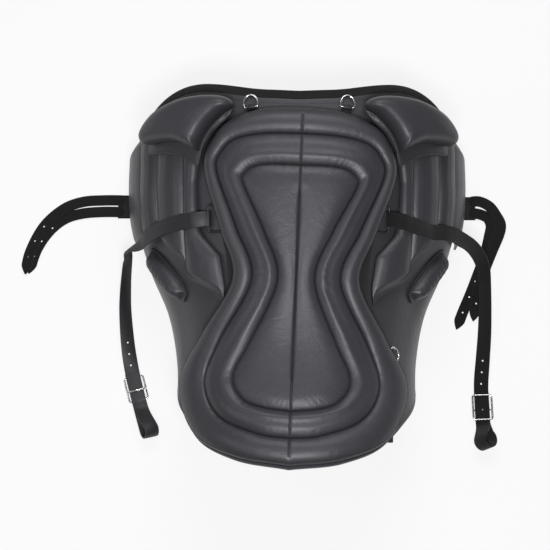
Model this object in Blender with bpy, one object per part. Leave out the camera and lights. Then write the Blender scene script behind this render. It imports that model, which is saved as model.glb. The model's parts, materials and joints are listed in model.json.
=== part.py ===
"""Treeless saddle, standing on the lower edges of its flaps.

Metres, +Z up, +Y towards the pommel, +X to the rider's right, z = 0 on the floor. The saddle
is drawn about its plane of symmetry and then stood with its footprint's middle at the origin.

Every leather and felt layer is cut as a flat pattern and draped over one form, the arch
of the saddle. A place on the form is given by u, the distance along the arch from the
ridge, by y, and by h, the height above the top of the base leather, square to the form.
"""

import math

import bmesh
import bpy
import numpy as np
from mathutils import Matrix, Vector

# Arch of the saddle: y, half width on the floor, ridge height, squareness of the section
ARCH = [(-0.42, 0.196, 0.262, 2.5), (-0.33, 0.200, 0.240, 2.5), (-0.22, 0.204, 0.218, 2.5),
        (-0.12, 0.206, 0.212, 2.4), (-0.04, 0.222, 0.219, 2.3), (0.04, 0.256, 0.232, 2.2),
        (0.12, 0.279, 0.244, 2.2), (0.22, 0.283, 0.252, 2.2), (0.30, 0.280, 0.256, 2.2),
        (0.42, 0.272, 0.258, 2.2)]

CLEAR = 0.0003              # between pieces that touch
SEAT_CLEAR = 0.0006         # under a small piece that sits on a draped layer
DRAPE_CLEAR = 0.0014        # between draped layers whose facets do not line up

LEATHER_T = 0.0032          # base leather
FELT_T = 0.0060             # felt under the base leather
PANEL_T = 0.0240            # foam panels beside the spine
SPINE_HALF_GAP = 0.0350     # half the channel between the panels
POMMEL_ARCH_T = 0.0045      # stiffener under the pommel

PAD_LOW = 0.0018            # underside and face of the hook and loop pads under the seat
PAD_T = 0.0092
UNDERLAY_T = 0.0040         # felt underlay of the seat
SEAT_SKIN_T = 0.0025        # leather of the seat cover
SEAT_SIDE = 0.0110          # height of the seat's side wall above its underlay
SEAT_CROWN = 0.0080         # rise of the padded rings above their stitched grooves
SEAT_FILL = 0.0105          # rise of the inner rings above the side wall

FLAP_EDGE_T = 0.0042        # flap at its valleys and edges
FLAP_CROWN = 0.0095         # rise of the flap's padded channels
FLAP_LIFT = 0.0050          # flap's lower edge above the floor, where the webbing passes
KNEE_FLANGE_T = 0.0024
KNEE_T = 0.0340             # thickness of the knee block
THIGH_T = 0.0230            # thickness of the thigh roll
THIGH_WIDTH = 0.0380
THIGH_EDGE_T = 0.0035

STRAP_W = 0.0250            # stirrup leather
STRAP_T = 0.0028
STRAP_LOW = 0.0018          # underside of a strap that lies on the floor
BAR_R = 0.0020              # wire of the stirrup bar
BAR_W = 0.0440              # stirrup bar, along Y
STIRRUP_Y = 0.0900
BAR_U = 0.1475              # outer leg of the stirrup bar
BAR_H = 0.0074
BAR_DEPTH = 0.0280
WEB_T = 0.0014              # webbing that holds the stirrup bars
GIRTH_W = 0.0420            # girth webbing
GIRTH_T = 0.0016
GIRTH_Y = 0.1560
BILLET_W = 0.0190
BILLET_T = 0.0030

RING_R = 0.0016             # wire of the D-rings
RING_W = 0.0230             # D-ring, across its bar
RING_L = 0.0200             # D-ring, from its bar to its bow
TAB_W = 0.0150
TAB_T = 0.0014
BUCKLE_R = 0.0018           # wire of the three-bar buckle
BUCKLE_W = 0.0330
BUCKLE_L = 0.0420
BUCKLE_MIDDLE = 0.0170      # from its loop end to its middle bar
BUCKLE_TONGUE_R = 0.0013    # stud on its middle bar, through the strap's holes
TONGUE_PROUD = 0.0009
TAIL_L = 0.0480             # end of the strap, from the buckle's loop end
HOLE_R = 0.0016

SECTION_STEPS = 200
WIRE_SIDES = 2

LEATHER = ("saddle_leather", (0.035, 0.034, 0.038), 0.48, 0.0)
SUEDE = ("flesh_side_leather", (0.012, 0.012, 0.013), 0.80, 0.0)
FELT = ("black_felt", (0.012, 0.012, 0.012), 0.95, 0.0)
FOAM = ("foam", (0.25, 0.25, 0.24), 0.90, 0.0)
WEBBING = ("black_webbing", (0.015, 0.015, 0.016), 0.85, 0.0)
PLASTIC = ("stiffener", (0.03, 0.03, 0.03), 0.50, 0.0)
STEEL = ("plated_steel", (0.80, 0.80, 0.79), 0.16, 1.0)
BLACK_STEEL = ("coated_steel", (0.02, 0.02, 0.02), 0.40, 0.0)


# Scene and materials

def clear_scene():
    for obj in list(bpy.data.objects):
        bpy.data.objects.remove(obj, do_unlink=True)


def material(finish):
    name, colour, roughness, metallic = finish
    mat = bpy.data.materials.get(name)
    if mat is None:
        mat = bpy.data.materials.new(name)
        mat.use_nodes = True
        shader = mat.node_tree.nodes["Principled BSDF"]
        shader.inputs["Base Color"].default_value = (*colour, 1.0)
        shader.inputs["Roughness"].default_value = roughness
        shader.inputs["Metallic"].default_value = metallic
    return mat


clear_scene()
parts = bpy.data.collections.new("treeless_saddle")
cutters = bpy.data.collections.new("cutters")
for collection in (parts, cutters):
    bpy.context.scene.collection.children.link(collection)


def add_part(name, bm, finish):
    """Make a finished bmesh the object called name, with its faces pointing out."""
    bmesh.ops.recalc_face_normals(bm, faces=bm.faces[:])
    if bm.calc_volume(signed=True) < 0:
        bmesh.ops.reverse_faces(bm, faces=bm.faces[:])
    mesh = bpy.data.meshes.new(name)
    bm.to_mesh(mesh)
    bm.free()
    mesh.materials.append(material(finish))
    mesh.shade_smooth()
    mesh.set_sharp_from_angle(angle=math.radians(40))
    obj = bpy.data.objects.new(name, mesh)
    parts.objects.link(obj)
    return obj


def combine(target, tool, operation):
    """Join tool to target, or cut it out, and keep tool as a hidden guide."""
    step = target.modifiers.new(operation.lower(), "BOOLEAN")
    step.operation = operation
    step.solver = "EXACT"
    step.object = tool
    parts.objects.unlink(tool)
    cutters.objects.link(tool)
    tool.hide_render = True
    tool.display_type = "WIRE"


def peg(name, low, high, radius, sides=12):
    """Round peg from one place to another."""
    way = high - low
    turn = way.to_track_quat("Z", "Y").to_matrix().to_4x4()
    bm = bmesh.new()
    bmesh.ops.create_cone(bm, cap_ends=True, segments=sides, radius1=radius, radius2=radius,
                          depth=way.length, matrix=Matrix.Translation((low + high) / 2) @ turn)
    return add_part(name, bm, STEEL)


def carry(name, at, way, pieces):
    """Parent pieces to an empty on their joint, its Z axis along the joint's axis."""
    joint = bpy.data.objects.new(name, None)
    parts.objects.link(joint)
    joint.empty_display_size = 0.02
    joint.matrix_world = Matrix.Translation(at) @ way.to_track_quat("Z", "Y").to_matrix().to_4x4()
    for piece in pieces:
        child = bpy.data.objects[piece]
        child.parent = joint
        child.matrix_parent_inverse = joint.matrix_world.inverted()


# The form

def station_value(y, column):
    """One column of the arch table at y, along a smooth curve through the stations."""
    ys = [row[0] for row in ARCH]
    vs = [row[column] for row in ARCH]
    slopes = np.gradient(vs, ys)
    i = min(max(int(np.searchsorted(ys, y)) - 1, 0), len(ys) - 2)
    step = ys[i + 1] - ys[i]
    t = (y - ys[i]) / step
    return ((2 * t**3 - 3 * t**2 + 1) * vs[i] + (t**3 - 2 * t**2 + t) * step * slopes[i]
            + (-2 * t**3 + 3 * t**2) * vs[i + 1] + (t**3 - t**2) * step * slopes[i + 1])


sections = {}


def section(y):
    """Distance along the arch, x and z, from the ridge down to the floor at y."""
    key = round(y, 6)
    if key not in sections:
        half, ridge, power = (station_value(y, column) for column in (1, 2, 3))
        angle = np.linspace(0.0, math.pi / 2, SECTION_STEPS)
        x = half * np.sin(angle) ** (2 / power)
        z = ridge * np.cos(angle) ** (2 / power)
        z[-1] = 0.0
        length = np.concatenate([[0.0], np.cumsum(np.hypot(np.diff(x), np.diff(z)))])
        sections[key] = (length, x, z)
    return sections[key]


def floor_u(y):
    """Distance along the arch from the ridge to the floor."""
    return float(section(y)[0][-1])


def form_point(u, y):
    length, x, z = section(y)
    side = math.copysign(1.0, u)
    below = max(abs(u) - length[-1], 0.0)
    return Vector((side * float(np.interp(abs(u), length, x)), y,
                   float(np.interp(abs(u), length, z)) - below))


def form_normal(u, y):
    reach = 0.004
    across = form_point(u + reach, y) - form_point(u - reach, y)
    along = form_point(u, y + reach) - form_point(u, y - reach)
    return across.cross(along).normalized()


def along_form(u, y):
    """Unit vector along the saddle, towards the pommel, on the form."""
    reach = 0.004
    return (form_point(u, y + reach) - form_point(u, y - reach)).normalized()


def on_form(u, y, h, lowest=0.0):
    """World place of pattern place u, y at height h. The floor cuts it level."""
    place = form_point(u, y) + h * form_normal(u, y)
    place.z = max(place.z, lowest)
    return place


# Curves through points

def through(points, value):
    """Point at value, 0 to 1, on a smooth curve through points, even in its keys."""
    last = len(points) - 1
    at = min(max(value, 0.0), 1.0) * last
    i = min(int(at), last - 1)
    t = at - i
    a, b = Vector(points[i]), Vector(points[i + 1])
    before = Vector(points[i - 1]) if i > 0 else a * 2 - b
    after = Vector(points[i + 2]) if i + 2 <= last else b * 2 - a
    return 0.5 * ((2 * a) + (b - before) * t + (2 * before - 5 * a + 4 * b - after) * t**2
                  + (3 * a - before - 3 * b + after) * t**3)


def even_route(points, count, dense=40):
    """count places at even distances along the smooth curve through points."""
    fine = [through(points, i / (dense * (len(points) - 1)))
            for i in range(dense * (len(points) - 1) + 1)]
    run = [0.0]
    for a, b in zip(fine, fine[1:]):
        run.append(run[-1] + (b - a).length)
    return [Vector([float(np.interp(run[-1] * k / (count - 1), run, [p[axis] for p in fine]))
                    for axis in range(3)]) for k in range(count)]


def between(pairs, value):
    """Straight-line reading of a list of (place, value) pairs."""
    return float(np.interp(value, [p[0] for p in pairs], [p[1] for p in pairs]))


# Ways to make a piece

def draped_slab(name, place, rows, columns, finish):
    """A slab over a grid. place(s, t, top) gives the world place of s, t in 0 to 1."""
    bm = bmesh.new()
    bmesh.ops.create_grid(bm, x_segments=rows, y_segments=columns, size=0.5)
    low = {v: (v.co.x + 0.5, v.co.y + 0.5) for v in bm.verts}
    made = bmesh.ops.extrude_face_region(bm, geom=bm.faces[:], use_keep_orig=True)
    high = {v: (v.co.x + 0.5, v.co.y + 0.5) for v in made["geom"]
            if isinstance(v, bmesh.types.BMVert)}
    for verts, top in ((low, False), (high, True)):
        for v, (s, t) in verts.items():
            v.co = place(s, t, top)
    return add_part(name, bm, finish)


def wrapped_skin(name, place, around, across, finish):
    """A closed body over a grid whose edges meet. place(s, t) gives the world place."""
    bm = bmesh.new()
    bmesh.ops.create_grid(bm, x_segments=around, y_segments=across, size=0.5)
    for v in bm.verts:
        v.co = place(v.co.x + 0.5, v.co.y + 0.5)
    bmesh.ops.remove_doubles(bm, verts=bm.verts[:], dist=0.00001)
    bmesh.ops.dissolve_degenerate(bm, edges=bm.edges[:], dist=0.00001)
    return add_part(name, bm, finish)


def ribbon(name, centre, width_ways, width, thickness, finish):
    """A strap: centre places, a way across at each, its width and its thickness."""
    count = len(centre)

    def place(s, t, top):
        k = round(s * (count - 1))
        ahead = centre[min(k + 1, count - 1)] - centre[max(k - 1, 0)]
        across = width_ways[k] - ahead * (width_ways[k].dot(ahead) / ahead.length_squared)
        across.normalize()
        up = across.cross(ahead).normalized()
        at = centre[k] + across * (t - 0.5) * width
        return at + up * thickness * (0.5 if top else -0.5)

    return draped_slab(name, place, count - 1, 1, finish)


def wire(name, points, radius, finish, closed=True):
    """A bent wire through points as a curve with a bevel, made a mesh with shut ends."""
    curve = bpy.data.curves.new(name, "CURVE")
    curve.dimensions = "3D"
    curve.bevel_depth = radius
    curve.bevel_resolution = WIRE_SIDES
    curve.use_fill_caps = True
    spline = curve.splines.new("POLY")
    spline.points.add(len(points) - 1)
    for slot, point in zip(spline.points, points):
        slot.co = (*point, 1.0)
    spline.use_cyclic_u = closed
    guide = bpy.data.objects.new(name + "_guide", curve)
    parts.objects.link(guide)
    bpy.context.view_layer.update()
    mesh = bpy.data.meshes.new_from_object(guide.evaluated_get(
        bpy.context.evaluated_depsgraph_get()))
    bpy.data.objects.remove(guide, do_unlink=True)
    bm = bmesh.new()
    bm.from_mesh(mesh)
    bpy.data.meshes.remove(mesh)
    bmesh.ops.remove_doubles(bm, verts=bm.verts[:], dist=0.00001)
    return add_part(name, bm, finish)


# Base: leather, felt, panels and stiffener

# Front and rear edges of the base: share of the way down to the floor, and y
BASE_FRONT = [(0.0, 0.278), (0.16, 0.282), (0.24, 0.289), (0.33, 0.297), (0.41, 0.302),
              (0.50, 0.300), (0.60, 0.290), (0.75, 0.266), (1.0, 0.236)]
BASE_REAR = [(0.0, -0.289), (0.25, -0.281), (0.45, -0.262), (0.60, -0.230), (0.80, -0.195),
             (1.0, -0.165)]
FELT_MARGIN = 0.0155        # felt that shows beyond the leather at the front


def base_sheet(name, low, high, margin, finish):
    def place(s, t, top):
        share = 2 * t - 1
        front = between(BASE_FRONT, abs(share)) + margin
        rear = between(BASE_REAR, abs(share)) - 0.3 * margin
        y = rear + (front - rear) * s
        return on_form(share * floor_u(y), y, high if top else low)
    return draped_slab(name, place, 17, 20, finish)


base_sheet("base_leather", -LEATHER_T, 0.0, 0.0, LEATHER)
felt_top = -LEATHER_T - DRAPE_CLEAR / 2
base_sheet("base_felt", felt_top - FELT_T, felt_top, FELT_MARGIN, FELT)

PANEL_FRONT, PANEL_REAR = 0.185, -0.265
PANEL_WIDTH = 0.1500
panel_top = felt_top - FELT_T - DRAPE_CLEAR
for side, label in ((-1, "left"), (1, "right")):
    def panel_place(s, t, top, side=side):
        y = PANEL_REAR + (PANEL_FRONT - PANEL_REAR) * s
        u = SPINE_HALF_GAP + PANEL_WIDTH * t
        swell = math.sin(math.pi * min(max(s, 0.0), 1.0)) ** 0.4 * math.sin(math.pi * t) ** 0.4
        depth = 0.005 + (PANEL_T - 0.005) * swell
        return on_form(side * u, y, panel_top - (0.0 if top else depth))
    draped_slab("panel_" + label, panel_place, 14, 7, FOAM)

ARCH_REAR, ARCH_FRONT, ARCH_REACH = 0.198, 0.268, 0.140


def pommel_place(s, t, top):
    y = ARCH_REAR + (ARCH_FRONT - ARCH_REAR) * s
    u = (2 * t - 1) * ARCH_REACH
    return on_form(u, y, panel_top - (0.0 if top else POMMEL_ARCH_T))


draped_slab("pommel_arch", pommel_place, 3, 14, PLASTIC)


# Seat: pads it grips, underlay, foam, cover and binding

# Right half of the outlines, front centre round to rear centre, as u and y
SEAT_EDGE = [(0.0, 0.2565), (0.060, 0.253), (0.105, 0.239), (0.130, 0.2155), (0.1465, 0.163),
             (0.1175, 0.068), (0.0945, -0.010), (0.1375, -0.098), (0.180, -0.178),
             (0.147, -0.262), (0.078, -0.302), (0.0, -0.315)]
FIRST_GROOVE = [(0.0, 0.2155), (0.058, 0.214), (0.098, 0.206), (0.118, 0.188),
                (0.1255, 0.156), (0.0925, 0.070), (0.065, -0.011), (0.107, -0.112),
                (0.1275, -0.182), (0.102, -0.238), (0.045, -0.267), (0.0, -0.273)]
SECOND_GROOVE = [(0.0, 0.165), (0.044, 0.165), (0.068, 0.1612), (0.0815, 0.151),
                 (0.0832, 0.134), (0.050, 0.063), (0.027, -0.012), (0.0605, -0.112),
                 (0.0835, -0.173), (0.070, -0.209), (0.041, -0.224), (0.0, -0.230)]
SEAT_MIDDLE = [(0.0, 0.124), (0.0, 0.118), (0.0, 0.111), (0.0, 0.102), (0.0, 0.090),
               (0.0, 0.040), (0.0, -0.015), (0.0, -0.080), (0.0, -0.140), (0.0, -0.163),
               (0.0, -0.172), (0.0, -0.180)]

underlay_low = PAD_T + 3 * CLEAR + DRAPE_CLEAR
seat_low = underlay_low + UNDERLAY_T + DRAPE_CLEAR

# Rows across the seat from its edge (0) over the grooves (1 and 2) to its middle (3),
# each with the height of the cover's outer face
wall_top = seat_low + SEAT_SIDE
groove_one = wall_top + 0.35 * SEAT_FILL
groove_two = wall_top + 0.75 * SEAT_FILL
middle_top = wall_top + SEAT_FILL + 0.5 * SEAT_CROWN
SEAT_ROWS = [(0.0, seat_low), (0.0, wall_top - 0.003), (0.10, wall_top + 0.004),
             (0.35, groove_one + 0.75 * SEAT_CROWN), (0.65, groove_one + 0.85 * SEAT_CROWN),
             (0.88, groove_one + 0.45 * SEAT_CROWN), (1.0, groove_one),
             (1.14, groove_one + 0.55 * SEAT_CROWN), (1.5, groove_one + 1.15 * SEAT_CROWN),
             (1.86, groove_two + 0.5 * SEAT_CROWN), (2.0, groove_two),
             (2.25, groove_two + 0.6 * SEAT_CROWN), (2.65, middle_top),
             (3.0, middle_top - 0.001)]


SEAT_TURN = math.radians(2.0)   # how the seat lies on its pads: turned a little,
SEAT_SHIFT = -0.0035            # and set to one side


def seat_plan(along, level):
    """u and y on the seat: along 0 to 1 round one half, level 0 at the edge, 3 inside."""
    rings = (SEAT_EDGE, FIRST_GROOVE, SECOND_GROOVE, SEAT_MIDDLE)
    first = min(max(int(level), 0), 2)
    share = level - first
    outer = through(rings[first], along)
    inner = through(rings[first + 1], along)
    u, y = outer + (inner - outer) * share
    return max(u, 0.0), y


def seat_place(s, level, h):
    """World place on the seat, s 0 to 1 right round it."""
    along = 2 * s if s <= 0.5 else 2 - 2 * s
    u, y = seat_plan(along, level)
    u = u if s <= 0.5 else -u
    turned = u * math.cos(SEAT_TURN) + y * math.sin(SEAT_TURN) + SEAT_SHIFT
    return on_form(turned, y * math.cos(SEAT_TURN) - u * math.sin(SEAT_TURN), h)


def row_at(rows, t):
    at = t * (len(rows) - 1)
    return rows[min(int(round(at)), len(rows) - 1)]


SEAT_STEPS = 44
skin_in = 0.07              # the cover's thickness as a share of the first ring
inner_rows = [(max(level, skin_in), h - (SEAT_SKIN_T if level > 0 else 0.0))
              for level, h in SEAT_ROWS]
inner_rows[0] = (skin_in, seat_low)
inner_rows[1] = (skin_in, wall_top - 0.004)
inner_rows[2] = (0.14, wall_top + 0.0005)
cover_rows = list(reversed(SEAT_ROWS)) + inner_rows
wrapped_skin("seat_cover", lambda s, t: seat_place(s, *row_at(cover_rows, t)),
             SEAT_STEPS, len(cover_rows) - 1, LEATHER)

foam_first = groove_one - SEAT_SKIN_T - SEAT_CLEAR
foam_second = groove_two - SEAT_SKIN_T - SEAT_CLEAR
foam_top = [(0.20, wall_top - 0.0065), (1.0, foam_first), (2.0, foam_second),
            (3.0, foam_second)]
foam_low = [(level, seat_low + 0.0026) for level, h in foam_top]
foam_rows = list(reversed(foam_top)) + foam_low
wrapped_skin("seat_foam", lambda s, t: seat_place(s, *row_at(foam_rows, t)),
             SEAT_STEPS, len(foam_rows) - 1, FOAM)

underlay_high = underlay_low + UNDERLAY_T
underlay_levels = (3.0, 2.4, 2.0, 1.3, 0.6, 0.10)
underlay_rows = [(level, underlay_high) for level in underlay_levels]
underlay_rows += [(level, underlay_low) for level in reversed(underlay_levels)]
wrapped_skin("seat_underlay", lambda s, t: seat_place(s, *row_at(underlay_rows, t)),
             SEAT_STEPS, len(underlay_rows) - 1, FELT)

bind_gap = -0.030
bind_out = -0.095
binding_rows = [(bind_gap, underlay_low), (bind_gap, seat_low + 0.006),
                (bind_out, seat_low + 0.006), (bind_out, underlay_low),
                (bind_gap, underlay_low)]
wrapped_skin("seat_binding", lambda s, t: seat_place(s, *row_at(binding_rows, t)),
             SEAT_STEPS, len(binding_rows) - 1, LEATHER)

# Half widths of the two pads on the base that hold the seat: y and u
FRONT_PAD = [(0.120, 0.128), (0.165, 0.146), (0.205, 0.134), (0.230, 0.112), (0.246, 0.085)]
REAR_PAD = [(-0.288, 0.050), (-0.250, 0.120), (-0.180, 0.150), (-0.120, 0.128),
            (-0.060, 0.117), (-0.010, 0.113), (0.030, 0.116), (0.056, 0.122)]


def pad(name, widths):
    def place(s, t, top):
        y = widths[0][0] + (widths[-1][0] - widths[0][0]) * s
        return on_form((2 * t - 1) * between(widths, y), y, PAD_T if top else PAD_LOW)
    return draped_slab(name, place, round((widths[-1][0] - widths[0][0]) / 0.025), 10, FELT)


pad("seat_pad_front", FRONT_PAD)
pad("seat_pad_rear", REAR_PAD)


# Flaps, knee blocks and thigh rolls

# Inner edge of the flap: y and u
FLAP_INNER = [(-0.055, 0.121), (-0.020, 0.118), (0.030, 0.126), (0.065, BAR_U + 0.0105),
              (0.090, BAR_U + 0.0175), (0.150, BAR_U + 0.0205), (0.200, 0.158),
              (0.225, 0.142), (0.245, 0.118), (0.270, 0.100)]
# Rear and front edges of the flap: share of the way from inner edge to floor, and y
FLAP_REAR = [(0.0, -0.052), (0.08, -0.030), (0.17, -0.008), (0.27, 0.018), (0.36, 0.046),
             (0.46, 0.071), (0.55, 0.083), (1.0, 0.083)]
FLAP_FRONT = [(0.0, 0.268), (0.30, 0.272), (0.60, 0.262), (0.85, 0.240), (1.0, 0.225)]
VALLEYS = (0.191, 0.250, 0.299)         # u of the three stitched valleys
flap_low = DRAPE_CLEAR + GIRTH_T + 1.8 * DRAPE_CLEAR


def flap_columns(y):
    """u and height of the flap's outer face, from its inner edge to the floor."""
    inner = between(FLAP_INNER, y)
    edge = flap_low + FLAP_EDGE_T
    stops = [inner, *VALLEYS, floor_u(y)]
    columns = []
    for number, (a, b) in enumerate(zip(stops, stops[1:])):
        lowest = number == len(VALLEYS)
        crown = FLAP_CROWN * min((b - a) / 0.030, 1.0) * (0.55 if lowest else 1.0)
        rises = LOWEST_PANEL if lowest else UPPER_PANEL
        columns += [(a + (b - a) * k, edge + crown * rise) for k, rise in rises]
    columns.append((stops[-1], edge))
    return columns


# Padded panel between two valleys: share of its width and of its crown
UPPER_PANEL = ((0.0, 0.0), (0.16, 0.62), (0.5, 1.0), (0.84, 0.62))
LOWEST_PANEL = ((0.0, 0.0), (0.10, 0.70), (0.26, 1.0), (0.42, 0.9), (0.58, 0.7),
                (0.72, 0.4), (0.86, 0.15))
FLAP_COLUMNS = len(UPPER_PANEL) * len(VALLEYS) + len(LOWEST_PANEL)


def flap_place(side, s, t, top):
    share = t
    rear = between(FLAP_REAR, share)
    front = between(FLAP_FRONT, share)
    y = rear + (front - rear) * s
    columns = flap_columns(y)
    u, h = columns[round(t * FLAP_COLUMNS)]
    if min(s, 1 - s) < 0.001:
        h = min(h, flap_low + FLAP_EDGE_T)
    return on_form(side * u, y, h if top else flap_low, FLAP_LIFT)


KNEE_EDGE = [(0.098, 0.262), (0.105, 0.275), (0.130, 0.282), (0.166, 0.283), (0.197, 0.278),
             (0.227, 0.267), (0.248, 0.250), (0.258, 0.233), (0.251, 0.221), (0.226, 0.220),
             (0.190, 0.215), (0.163, 0.200), (0.154, 0.195), (0.151, 0.207), (0.139, 0.228),
             (0.118, 0.249)]
KNEE_MIDDLE = [(0.130, 0.263), (0.136, 0.265), (0.150, 0.265), (0.168, 0.262), (0.187, 0.257),
               (0.204, 0.250), (0.217, 0.243), (0.222, 0.238), (0.218, 0.235), (0.205, 0.235),
               (0.188, 0.235), (0.173, 0.233), (0.166, 0.234), (0.159, 0.242), (0.151, 0.249),
               (0.139, 0.257)]
FLANGE_EDGE = [(0.103, 0.259), (0.109, 0.271), (0.132, 0.277), (0.166, 0.278), (0.196, 0.273),
               (0.225, 0.262), (0.246, 0.246), (0.257, 0.227), (0.256, 0.208), (0.226, 0.203),
               (0.193, 0.193), (0.168, 0.178), (0.158, 0.175), (0.151, 0.203), (0.140, 0.225),
               (0.120, 0.247)]
knee_flange_low = flap_low + FLAP_EDGE_T + FLAP_CROWN + SEAT_CLEAR
knee_low = knee_flange_low + KNEE_FLANGE_T + 1.6 * DRAPE_CLEAR


def ring_point(points, s):
    """Point at s, 0 to 1, on the smooth closed curve through points."""
    wrapped = [points[-1], *points, points[0], points[1]]
    keys = len(points)
    return through(wrapped, (1 + (s % 1.0) * keys) / (keys + 2))


def knee_place(side, s, level, h, edge):
    """level 0 on the edge given and 1 along the middle of the knee block."""
    outer = ring_point(edge, s)
    inner = ring_point(KNEE_MIDDLE, s)
    u, y = outer + (inner - outer) * level
    return on_form(side * u, y, h)


KNEE_ROWS = [(1.0, knee_low + KNEE_T), (0.55, knee_low + 0.93 * KNEE_T),
             (0.22, knee_low + 0.74 * KNEE_T), (0.04, knee_low + 0.42 * KNEE_T),
             (0.0, knee_low + 0.16 * KNEE_T), (0.10, knee_low)]
FLANGE_HIGH = knee_flange_low + KNEE_FLANGE_T


def capped(name, rows, edge, steps, finish, side):
    """A pad on the flap: rows from its middle out, down and in again, with filled ends."""
    bm = bmesh.new()
    bmesh.ops.create_grid(bm, x_segments=steps, y_segments=len(rows) - 1, size=0.5)
    for v in bm.verts:
        level, h = row_at(rows, v.co.y + 0.5)
        v.co = knee_place(side, v.co.x + 0.5, level, h, edge)
    bmesh.ops.remove_doubles(bm, verts=bm.verts[:], dist=0.00001)
    bmesh.ops.holes_fill(bm, edges=[e for e in bm.edges if e.is_boundary], sides=0)
    bmesh.ops.triangulate(bm, faces=[f for f in bm.faces if len(f.verts) > 4])
    return add_part(name, bm, finish)


for side, label in ((-1, "left"), (1, "right")):
    draped_slab("flap_" + label,
                lambda s, t, top, side=side: flap_place(side, s, t, top),
                10, FLAP_COLUMNS, LEATHER)
    capped("knee_block_" + label, KNEE_ROWS, KNEE_EDGE, 32, LEATHER, side)
    flange = [(1.0, FLANGE_HIGH), (0.4, FLANGE_HIGH), (0.0, FLANGE_HIGH),
              (0.0, knee_flange_low), (0.4, knee_flange_low), (1.0, knee_flange_low)]
    capped("knee_flange_" + label, flange, FLANGE_EDGE, 32, SUEDE, side)

THIGH_TOP = (0.300, 0.057)
THIGH_TIP = (0.206, -0.029)


def thigh_place(side, s, t, top):
    """s along the thigh roll from its tip, t across it."""
    start, end = Vector(THIGH_TIP), Vector(THIGH_TOP)
    ahead = (end - start).normalized()
    across = Vector((-ahead.y, ahead.x))
    lip = 0.06
    inside = max(min(s - lip, 1 - lip - s) / (0.5 - lip), 0.0)
    round_end = math.sqrt(max(1 - (1 - min(inside * 2.2, 1.0)) ** 2, 0.0))
    spread = math.sin(math.pi * min(max(s, 0.03), 0.97)) ** 0.35
    u, y = start + (end - start) * s + across * THIGH_WIDTH * (t - 0.5) * spread
    body = max(math.sin(math.pi * t), 0.0) ** 0.6 * round_end
    h = SEAT_CLEAR + THIGH_EDGE_T + (THIGH_T - THIGH_EDGE_T) * body
    return on_form(side * u, y, h if top else SEAT_CLEAR)


for side, label in ((-1, "left"), (1, "right")):
    draped_slab("thigh_roll_" + label,
                lambda s, t, top, side=side: thigh_place(side, s, t, top),
                10, 8, LEATHER)


# Stirrup bars, webbing and leathers

def arc(centre, radius, start, end, count):
    """Places on an arc about centre, angles in degrees from the first way to the second."""
    steps = [math.radians(start + (end - start) * k / (count - 1)) for k in range(count)]
    return [(centre[0] + radius * math.cos(a), centre[1] + radius * math.sin(a))
            for a in steps]


def rounded(corners, radius, steps=3):
    """Corners of a closed outline, each replaced by a short curve of points."""
    points = []
    for k, corner in enumerate(corners):
        before = (corners[k - 1] - corner).normalized() * radius
        after = (corners[(k + 1) % len(corners)] - corner).normalized() * radius
        for step in range(steps + 1):
            t = step / steps
            points.append(corner + before * (1 - t) ** 2 + after * t ** 2)
    return points


WEB_LOW = DRAPE_CLEAR + 0.0004          # underside of the webbing on the base leather
INNER_LEG = (BAR_U - BAR_DEPTH, WEB_LOW + WEB_T + 2 * CLEAR + BAR_R)
web_round = BAR_R + 2 * CLEAR + WEB_T / 2
half_web = [(u, INNER_LEG[1] - web_round) for u in np.linspace(0.0, INNER_LEG[0] - 0.004, 8)]
half_web += arc(INNER_LEG, web_round, -90, 90, 6)
half_web.append((INNER_LEG[0] - 0.006, INNER_LEG[1] + web_round))
web_points = [(-u, h) for u, h in reversed(half_web[1:])] + half_web
ribbon("stirrup_webbing", [on_form(u, STIRRUP_Y, h) for u, h in web_points],
       [along_form(u, STIRRUP_Y) for u, h in web_points], BAR_W - 5 * BAR_R, WEB_T, WEBBING)


def bar_corner(side, u, y):
    """Place on the stirrup bar, whose frame is flat and level with the webbing's slope."""
    share = (u - INNER_LEG[0]) / BAR_DEPTH
    h = INNER_LEG[1] + (BAR_H - INNER_LEG[1]) * share
    return (on_form(side * u, STIRRUP_Y, h)
            + along_form(side * u, STIRRUP_Y) * (y - STIRRUP_Y))


for side, label in ((-1, "left"), (1, "right")):
    half = BAR_W / 2
    legs = [bar_corner(side, u, STIRRUP_Y + y) for u, y in
            ((BAR_U, -half), (BAR_U, half), (INNER_LEG[0], half), (INNER_LEG[0], -half))]
    wire("stirrup_bar_" + label, rounded(legs, 0.006), BAR_R, BLACK_STEEL)

EYE_GAP = 0.0005            # between the stirrup bar and the strap round it
eye_round = BAR_R + EYE_GAP + STRAP_T / 2
eye = [(BAR_U + 0.008, BAR_H - eye_round)]
eye += arc((BAR_U, BAR_H), eye_round, -90, -270, 9)
eye.append((BAR_U + 0.005, BAR_H + eye_round + 0.0035))
over_flap = knee_flange_low + STRAP_T / 2 + SEAT_CLEAR
FLOOR_LIFT = STRAP_T / 2 + STRAP_LOW

# Heights at the buckle: its low bars, the strap's two plies, its high bars
bars_low = BUCKLE_R + CLEAR
ply_low = bars_low + BUCKLE_R + CLEAR + STRAP_T / 2
ply_step = STRAP_T + CLEAR
bars_high = ply_low + ply_step + STRAP_T / 2 + CLEAR + BUCKLE_R

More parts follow.
